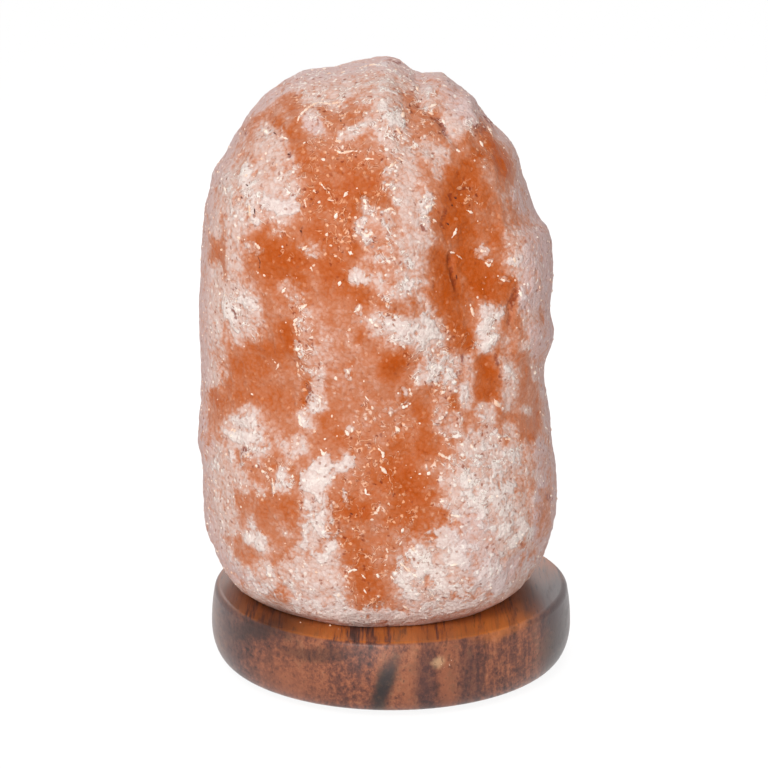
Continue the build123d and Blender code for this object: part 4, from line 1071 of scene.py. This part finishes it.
def buildCrumbTree(material):
    tree, given, out = startGroup("saltCrumbs", (
        ("Rock", "Geometry", None), ("Crumbs per square metre", "Float", crumbSettings["perSquareMetre"]),
        ("Smallest", "Float", crumbSettings["smallest"]), ("Largest", "Float", crumbSettings["largest"]),
        ("Seed", "Int", crumbSettings["seed"]),
    ), (("Crumbs", "Geometry"),), "GeometryNodeTree")
    room = place(tree, "GeometryNodeInputNamedAttribute", {"data_type": "FLOAT"}, Name="crumbs")
    density = times(tree, room.outputs["Attribute"], given["Crumbs per square metre"])
    spots = place(tree, "GeometryNodeDistributePointsOnFaces", {"distribute_method": "RANDOM"},
                  Mesh=given["Rock"], Density=density, Seed=given["Seed"])
    ball = place(tree, "GeometryNodeMeshIcoSphere", Radius=1.0, Subdivisions=1)
    small = maths(tree, "POWER", randomValue(tree, given["Seed"]), crumbSettings["smallBias"])
    spread = minus(tree, given["Largest"], given["Smallest"])
    width = plus(tree, given["Smallest"], times(tree, small, spread))
    shape = randomValue(tree, crumbSettings["shapeSeed"], crumbSettings["leastShape"],
                        crumbSettings["mostShape"])
    scaled = scaledVector(tree, shape, width)
    spin = randomValue(tree, crumbSettings["spinSeed"], (0.0, 0.0, 0.0), crumbSettings["tumble"])
    turned = place(tree, "FunctionNodeRotateRotation", {"rotation_space": "LOCAL"},
                   Rotation=spots.outputs["Rotation"])
    tree.links.new(spin, turned.inputs[1])
    placed = place(tree, "GeometryNodeInstanceOnPoints", Points=spots.outputs["Points"],
                   Instance=ball.outputs["Mesh"], Rotation=turned.outputs[0], Scale=scaled)
    return finishTree(tree, placed, material, out)


onSalt = crumbSettings["onClearSalt"]
onSalt = onSalt + (1 - onSalt) * smoothStep(0.1, 0.7, fields["haze"])
clear = smoothStep(base + crumbSettings["clearStart"], base + crumbSettings["clearFull"], points[:, 2])
storeField(skin, "crumbs", outer * clear * onSalt)
crumbs = linkNew("salt_crumbs", skin.copy())
crumbs.modifiers.new("crumbs", "NODES").node_group = buildCrumbTree(whiteSalt)
settle(crumbs)
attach(crumbs, "stand")
print("crumbs scattered:", len(crumbs.data.polygons), "faces")

# the wooden base

woodColours = {
    "pale": paint(182, 118, 84), "light": paint(150, 88, 60), "mid": paint(106, 60, 46),
    "dark": paint(50, 30, 26), "topBrown": paint(176, 96, 40), "sap": paint(198, 112, 44),
    "stripe": paint(34, 30, 31), "plum": paint(64, 42, 43), "knot": paint(214, 172, 130),
}
# rings stand upright across X, fibres run along Y, so the front shows mottled end grain
woodGrains = {      # stretch, turn, scale, detail, roughness
    "rings": ((1.0, 0.10, 0.22), (0.0, 0.18, 0.0), 120.0, 5.0, 0.62),
    "fine": ((1.0, 0.05, 0.16), (0.0, 0.0, 0.0), 560, 4.0, 0.6),
    "fibre": ((1.0, 0.06, 1.0), (0.0, 0.0, 0.0), 520.0, 4.0, 0.7),
    "speck": ((1.0, 0.10, 0.8), (0.0, 0.0, 0.0), 1050, 3.0, 0.7),
    "pores": ((1.0, 0.12, 0.7), (0.0, 0.0, 0.0), 1100, 2.0, 0.5),
}
woodMix = {
    "swayScale": 28.0, "sway": 0.010,               # slow bends of the grain, in m
    "linesStart": 0.010, "linesFull": 0.026,        # along X, where fine upright lines start and are full
    "rings": 0.66, "speck": 0.55,                   # how far each grain swings the tone
    "fine": (0.12, 0.62), "fibre": (0.52, 0.16), "darker": (0.15, 0.26),      # left and right of there
    "fibreStart": 0.005,
    "topFibre": 0.9, "topRings": 0.6, "topShare": 0.92, "topStart": 0.72, "topFull": 0.97,
    "figureFibre": 0.9, "figureRings": 0.7, "figureStart": 0.05, "figureSoftness": 0.95,
    "pores": 0.5, "poreStart": 0.42, "poreFull": 0.28,
    "roughness": (0.5, 0.8, 0.46, 0.34),            # from one tone to another, and the roughness at each
    "fibreHeight": 0.6, "poreHeight": -0.8, "depth": 0.12 * mm,
}
sideTones = ((0.56, "dark"), (0.72, "mid"), (0.84, "light"), (0.98, "pale"))
# the top's tones are lighter and more orange than the sides', partly as painted light from above and from the
# orange crystal
topTones = ((0.56, "dark"), (0.65, "mid"), (0.73, "topBrown"), (0.85, "sap"))
# tint, strength, centre, half sizes, lean
woodFigures = (
    # the first two plum patches, at the two ends, and the dark patch at the right end are painted shade with
    # a purplish painted sheen where the sides turn away
    ("plum", 0.75, (-0.0500, -0.020, 0.0120), (0.0080, 0.03, 0.0200), 0.0),
    ("plum", 0.75, (0.0500, -0.020, 0.0120), (0.0075, 0.03, 0.0200), 0.0),
    ("light", 0.55, (-0.0300, -0.043, 0.0085), (0.0110, 0.02, 0.0065), 0.0),
    ("dark", 0.85, (-0.0390, -0.037, 0.0185), (0.0140, 0.014, 0.0026), 0.28),
    ("dark", 0.60, (-0.0210, -0.047, 0.0180), (0.0100, 0.012, 0.0018), 0.12),
    ("light", 0.55, (0.0050, -0.052, 0.0080), (0.0018, 0.02, 0.0100), -0.20),
    ("plum", 0.60, (0.0100, -0.052, 0.0100), (0.0028, 0.02, 0.0120), -0.10),
    ("light", 0.75, (0.0158, -0.050, 0.0100), (0.0022, 0.02, 0.0130), -0.05),
    ("plum", 0.50, (0.0220, -0.048, 0.0100), (0.0030, 0.02, 0.0120), 0.0),
    ("dark", 0.80, (0.0495, -0.016, 0.0100), (0.0050, 0.020, 0.0200), 0.0),
    ("stripe", 0.97, (-0.0026, -0.052, 0.0090), (0.0027, 0.02, 0.0095), -0.36),
    ("knot", 0.60, (0.0140, -0.052, 0.0165), (0.0015, 0.01, 0.0015), 0.6),
    ("dark", 0.30, (-0.0360, -0.028, 0.0225), (0.0120, 0.018, 0.0035), 0.0),
    ("sap", 0.55, (0.0300, -0.036, 0.0225), (0.0090, 0.010, 0.0030), 0.0),
    ("plum", 0.85, (0.0470, -0.014, 0.0225), (0.0110, 0.020, 0.0040), 0.0),
)


def woodGrain(tree, where, label):
    stretch, turn, scale, detail, roughness = woodGrains[label]
    return grain(tree, stretched(tree, where, stretch, turn), scale, detail, roughness)


def woodTones(tree, tone, stops):
    return colourScale(tree, tone, [(position, woodColours[name]) for position, name in stops])


def turnedWoodMaterial():
    material, tree, shader, where = startMaterial("turnedWood", IOR=1.45, Specular_IOR_Level=0.3,
                                                  Coat_Weight=0.22, Coat_Roughness=0.30)
    sway = place(tree, "ShaderNodeTexNoise", Vector=where, Scale=woodMix["swayScale"], Detail=3.0)
    bent = vectors(tree, "ADD", where, scaledVector(tree, sway.outputs["Color"], woodMix["sway"]))
    rings, fine = (woodGrain(tree, bent, label) for label in ("rings", "fine"))
    fibre, speck, pores = (woodGrain(tree, where, label) for label in ("fibre", "speck", "pores"))
    east = place(tree, "ShaderNodeSeparateXYZ", Vector=where).outputs["X"]
    start, full = woodMix["linesStart"], woodMix["linesFull"]
    lined = ease(tree, east, start, full)
    fineShare = ease(tree, east, start, full, *woodMix["fine"])
    fine = times(tree, fine, fineShare)
    fibreShare = ease(tree, east, woodMix["fibreStart"], full, *woodMix["fibre"])
    tone = weighted(tree, (rings, woodMix["rings"]), (fine, 1.0), (fibre, fibreShare),
                    (speck, woodMix["speck"]))
    tone = minus(tree, tone, ease(tree, lined, 0.0, 1.0, *woodMix["darker"]))
    colour = woodTones(tree, tone, sideTones)
    # the orange-brown top, chosen by the upward normal: partly its own grain and partly painted light from
    # above and the crystal's reflected orange
    normal = place(tree, "ShaderNodeNewGeometry").outputs["Normal"]
    up = place(tree, "ShaderNodeSeparateXYZ", Vector=normal).outputs["Z"]
    topTone = weighted(tree, (fibre, woodMix["topFibre"]), (rings, woodMix["topRings"]))
    topTone = woodTones(tree, topTone, topTones)
    onTop = ease(tree, up, woodMix["topStart"], woodMix["topFull"], 0.0, woodMix["topShare"])
    colour = mixColour(tree, onTop, colour, topTone)
    # single figures: dark stripes, a pale knot and lighter bands, and darker ends painted as shade and
    # purplish sheen where the sides turn away
    shift = woodMix["sway"] / 2        # the sway moves the whole pattern by this much
    for tint, strength, centre, reach, leaning in woodFigures:
        mask = useGroup(tree, softSpot, Place=bent, Centre=tuple(c + shift for c in centre),
                        Reach=reach, Lean=leaning, Softness=woodMix["figureSoftness"])["Mask"]
        broken = weighted(tree, (mask, 1.0), (minus(tree, fibre, 0.5), woodMix["figureFibre"]),
                          (minus(tree, rings, 0.5), woodMix["figureRings"]))
        shown = ease(tree, broken, woodMix["figureStart"], 1.0, 0.0, strength)
        colour = mixColour(tree, shown, colour, woodColours[tint])
    poreMask = ease(tree, pores, woodMix["poreStart"], woodMix["poreFull"], 0.0, woodMix["pores"])
    colour = mixColour(tree, poreMask, colour, woodColours["dark"])
    tree.links.new(colour, shader.inputs["Base Color"])
    tree.links.new(ease(tree, tone, *woodMix["roughness"]), shader.inputs["Roughness"])
    height = weighted(tree, (fibre, woodMix["fibreHeight"]), (poreMask, woodMix["poreHeight"]))
    relief(tree, shader, height, woodMix["depth"], 0.5)
    return material


# finishes of the holder, the bulb and the fixings

def spreadRoughness(tree, shader, value, low, high, smooth, rough):
    tree.links.new(ease(tree, value, low, high, smooth, rough), shader.inputs["Roughness"])


def mouldedMaterial(name, colour, roughness, scale=1400.0, unevenness=0.06, depth=0.04 * mm, **shaderValues):
    material, tree, shader, where = startMaterial(name, **shaderValues)
    skinOut = useGroup(tree, fineSkin, Place=where, Scale=scale, Unevenness=unevenness, Colour=colour)
    tree.links.new(skinOut["Colour"], shader.inputs["Base Color"])
    spreadRoughness(tree, shader, skinOut["Shade"], 0.3, 0.7, roughness - 0.08, roughness + 0.08)
    relief(tree, shader, skinOut["Height"], depth, 0.5)
    return material


def metalMaterial(name, colour, tarnish, roughness, stretch, scale=260.0):
    material, tree, shader, where = startMaterial(name, Metallic=1.0)
    skinOut = useGroup(tree, fineSkin, Place=where, Scale=700.0, Unevenness=0.05, Colour=colour)
    lines = useGroup(tree, fineLines, Place=where, Stretch=stretch, Scale=scale)["Line"]
    dull = ease(tree, plus(tree, skinOut["Shade"], times(tree, lines, 0.3)), 0.55, 0.85, 0.0, 0.7)
    tree.links.new(mixColour(tree, dull, skinOut["Colour"], tarnish), shader.inputs["Base Color"])
    spreadRoughness(tree, shader, lines, 0.3, 0.7, roughness - 0.08, roughness + 0.12)
    relief(tree, shader, lines, 0.02 * mm, 0.35)
    return material


def glassMaterial(name, colour, weight, roughness):
    material, tree, shader, where = startMaterial(name, Transmission_Weight=weight, IOR=1.48)
    skinOut = useGroup(tree, fineSkin, Place=where, Scale=120.0, Unevenness=0.01, Colour=colour)
    tree.links.new(skinOut["Colour"], shader.inputs["Base Color"])
    spreadRoughness(tree, shader, skinOut["Shade"], 0.4, 0.6, roughness, roughness + 0.03)
    relief(tree, shader, skinOut["Shade"], 0.05 * mm, 0.15)
    return material


turnedWood = turnedWoodMaterial()
footRubber = mouldedMaterial("footRubber", paint(44, 43, 42), 0.72, 2200.0, 0.12, 0.06 * mm)
nylonPlug = mouldedMaterial("nylonPlug", paint(198, 198, 192), 0.5)
holderPlastic = mouldedMaterial("holderPlastic", paint(232, 228, 216), 0.42)
glandPlastic = mouldedMaterial("glandPlastic", paint(38, 38, 39), 0.46, 1800.0, 0.1)
insertCeramic = mouldedMaterial("insertCeramic", paint(238, 234, 224), 0.34, 1000.0, 0.05, 0.03 * mm,
                                Coat_Weight=0.3)
screwSteel = metalMaterial("screwSteel", paint(196, 196, 190), paint(128, 126, 120), 0.30, (1, 1, 8))
springSteel = metalMaterial("springSteel", paint(150, 153, 160), paint(78, 84, 98), 0.28, (1, 1, 0.1))
contactBrass = metalMaterial("contactBrass", paint(212, 172, 98), paint(142, 104, 54), 0.30, (1, 1, 0.15))
capMetal = metalMaterial("capMetal", paint(206, 202, 194), paint(140, 132, 120), 0.26, (0.2, 0.2, 6))
solderTin = metalMaterial("solderTin", paint(172, 172, 176), paint(112, 112, 116), 0.42, (1, 1, 1))
leadWire = metalMaterial("leadWire", paint(180, 176, 168), paint(120, 114, 106), 0.32, (1, 1, 0.2))
tungsten = metalMaterial("tungsten", paint(110, 110, 114), paint(70, 70, 76), 0.38, (1, 1, 1))
clearGlass = glassMaterial("clearGlass", paint(246, 250, 249), 1.0, 0.02)
blackGlass = glassMaterial("blackGlass", paint(20, 20, 22), 0.0, 0.12)
finishes = {
    turnedWood: ("wooden_base",),
    footRubber: ("foot_front_left", "foot_front_right", "foot_back_left", "foot_back_right"),
    screwSteel: ("crystal_screws", "terminal_screws"),
    nylonPlug: ("crystal_plugs",),
    holderPlastic: ("holder_cap", "holder_skirt"),
    glandPlastic: ("cord_inlet", "gland_nut"),
    insertCeramic: ("contact_insert",),
    contactBrass: ("centre_contact", "contact_rivet", "terminal_plate", "side_contact"),
    capMetal: ("screw_shell", "bulb_cap"),
    solderTin: ("bulb_tip",),
    blackGlass: ("bulb_insulator",),
    clearGlass: ("bulb_envelope", "bulb_stem"),
    leadWire: ("bulb_leads", "filament_support"),
    tungsten: ("bulb_filament",),
    springSteel: ("leaf_left", "leaf_right"),
}
for material, nodeNames in finishes.items():
    for nodeName in nodeNames:
        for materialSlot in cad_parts[nodeName].material_slots:
            materialSlot.material = material
print("finishes set")

# floor, world and lamps

studio = {
    "floorSize": 7.0,
    "floorColour": paint(238, 237, 236),
    "floorVeil": 0.78,        # how much of the white behind the floor shows through it
    "floorGlow": 0.125,       # what the camera sees on top of that
    "skyStrength": 0.50,
    "lampAim": (0, 0, 0.08),
    "keyPower": 5.4, "keySize": 0.45, "keyPlace": (-0.20, -0.82, 0.76),
    "fillPower": 5.2, "fillSize": 0.6, "fillPlace": (-0.20, -1.10, 0.06),
    "backPower": 2.6, "backSize": 0.7, "backPlace": (-0.1, 0.8, 0.7),
}


def seenAsWhite(tree):
    # rays from the camera, and those that metal and glass send on
    path = place(tree, "ShaderNodeLightPath").outputs
    seen = larger(tree, path["Is Camera Ray"], path["Is Glossy Ray"])
    return larger(tree, seen, path["Is Transmission Ray"])


def buildFloor():
    mesh = bpy.data.meshes.new("studioFloor")
    half = studio["floorSize"]
    mesh.from_pydata([(-half, -half, 0), (half, -half, 0), (half, half, 0), (-half, half, 0)], [],
                     [(0, 1, 2, 3)])
    floor = linkNew("studioFloor", mesh)
    material = bpy.data.materials.new("paleFloor")
    material.use_nodes = True
    tree = material.node_tree
    tree.nodes.clear()
    matte = place(tree, "ShaderNodeBsdfDiffuse", Color=studio["floorColour"])
    through = place(tree, "ShaderNodeBsdfTransparent")
    veil = times(tree, seenAsWhite(tree), studio["floorVeil"])
    fromBelow = place(tree, "ShaderNodeNewGeometry").outputs["Backfacing"]
    seeThrough = larger(tree, veil, fromBelow)
    mixed = place(tree, "ShaderNodeMixShader")
    feed(tree, mixed.inputs[0], seeThrough)
    feed(tree, mixed.inputs[1], matte.outputs[0])
    feed(tree, mixed.inputs[2], through.outputs[0])
    glowing = times(tree, seenAsWhite(tree), minus(tree, 1.0, fromBelow))
    glow = place(tree, "ShaderNodeEmission", Color=(1.0, 1.0, 1.0, 1.0),
                 Strength=times(tree, glowing, studio["floorGlow"]))
    whole = place(tree, "ShaderNodeAddShader")
    feed(tree, whole.inputs[0], mixed.outputs[0])
    feed(tree, whole.inputs[1], glow.outputs[0])
    tree.links.new(whole.outputs[0], place(tree, "ShaderNodeOutputMaterial").inputs["Surface"])
    mesh.materials.append(material)


def buildWorld():
    world = bpy.data.worlds.new("studioSky")
    scene.world = world
    world.use_nodes = True
    tree = world.node_tree
    tree.nodes.clear()
    strength = plus(tree, studio["skyStrength"], times(tree, seenAsWhite(tree), 1 - studio["skyStrength"]))
    sky = place(tree, "ShaderNodeBackground", Color=(1.0, 1.0, 1.0, 1.0), Strength=strength)
    tree.links.new(sky.outputs[0], place(tree, "ShaderNodeOutputWorld").inputs["Surface"])


def addLamp(name):
    lamp = bpy.data.lights.new(name + "Lamp", "AREA")
    lamp.energy, lamp.size = studio[name + "Power"], studio[name + "Size"]
    holder = bpy.data.objects.new(name + "Lamp", lamp)
    scene.collection.objects.link(holder)
    holder.location = studio[name + "Place"]
    holder.rotation_euler = (Vector(studio["lampAim"]) - holder.location).to_track_quat("-Z", "Y").to_euler()


buildFloor()
buildWorld()
for lampName in ("key", "fill", "back"):
    addLamp(lampName)
scene.view_settings.view_transform = "Standard"
print("studio lit")
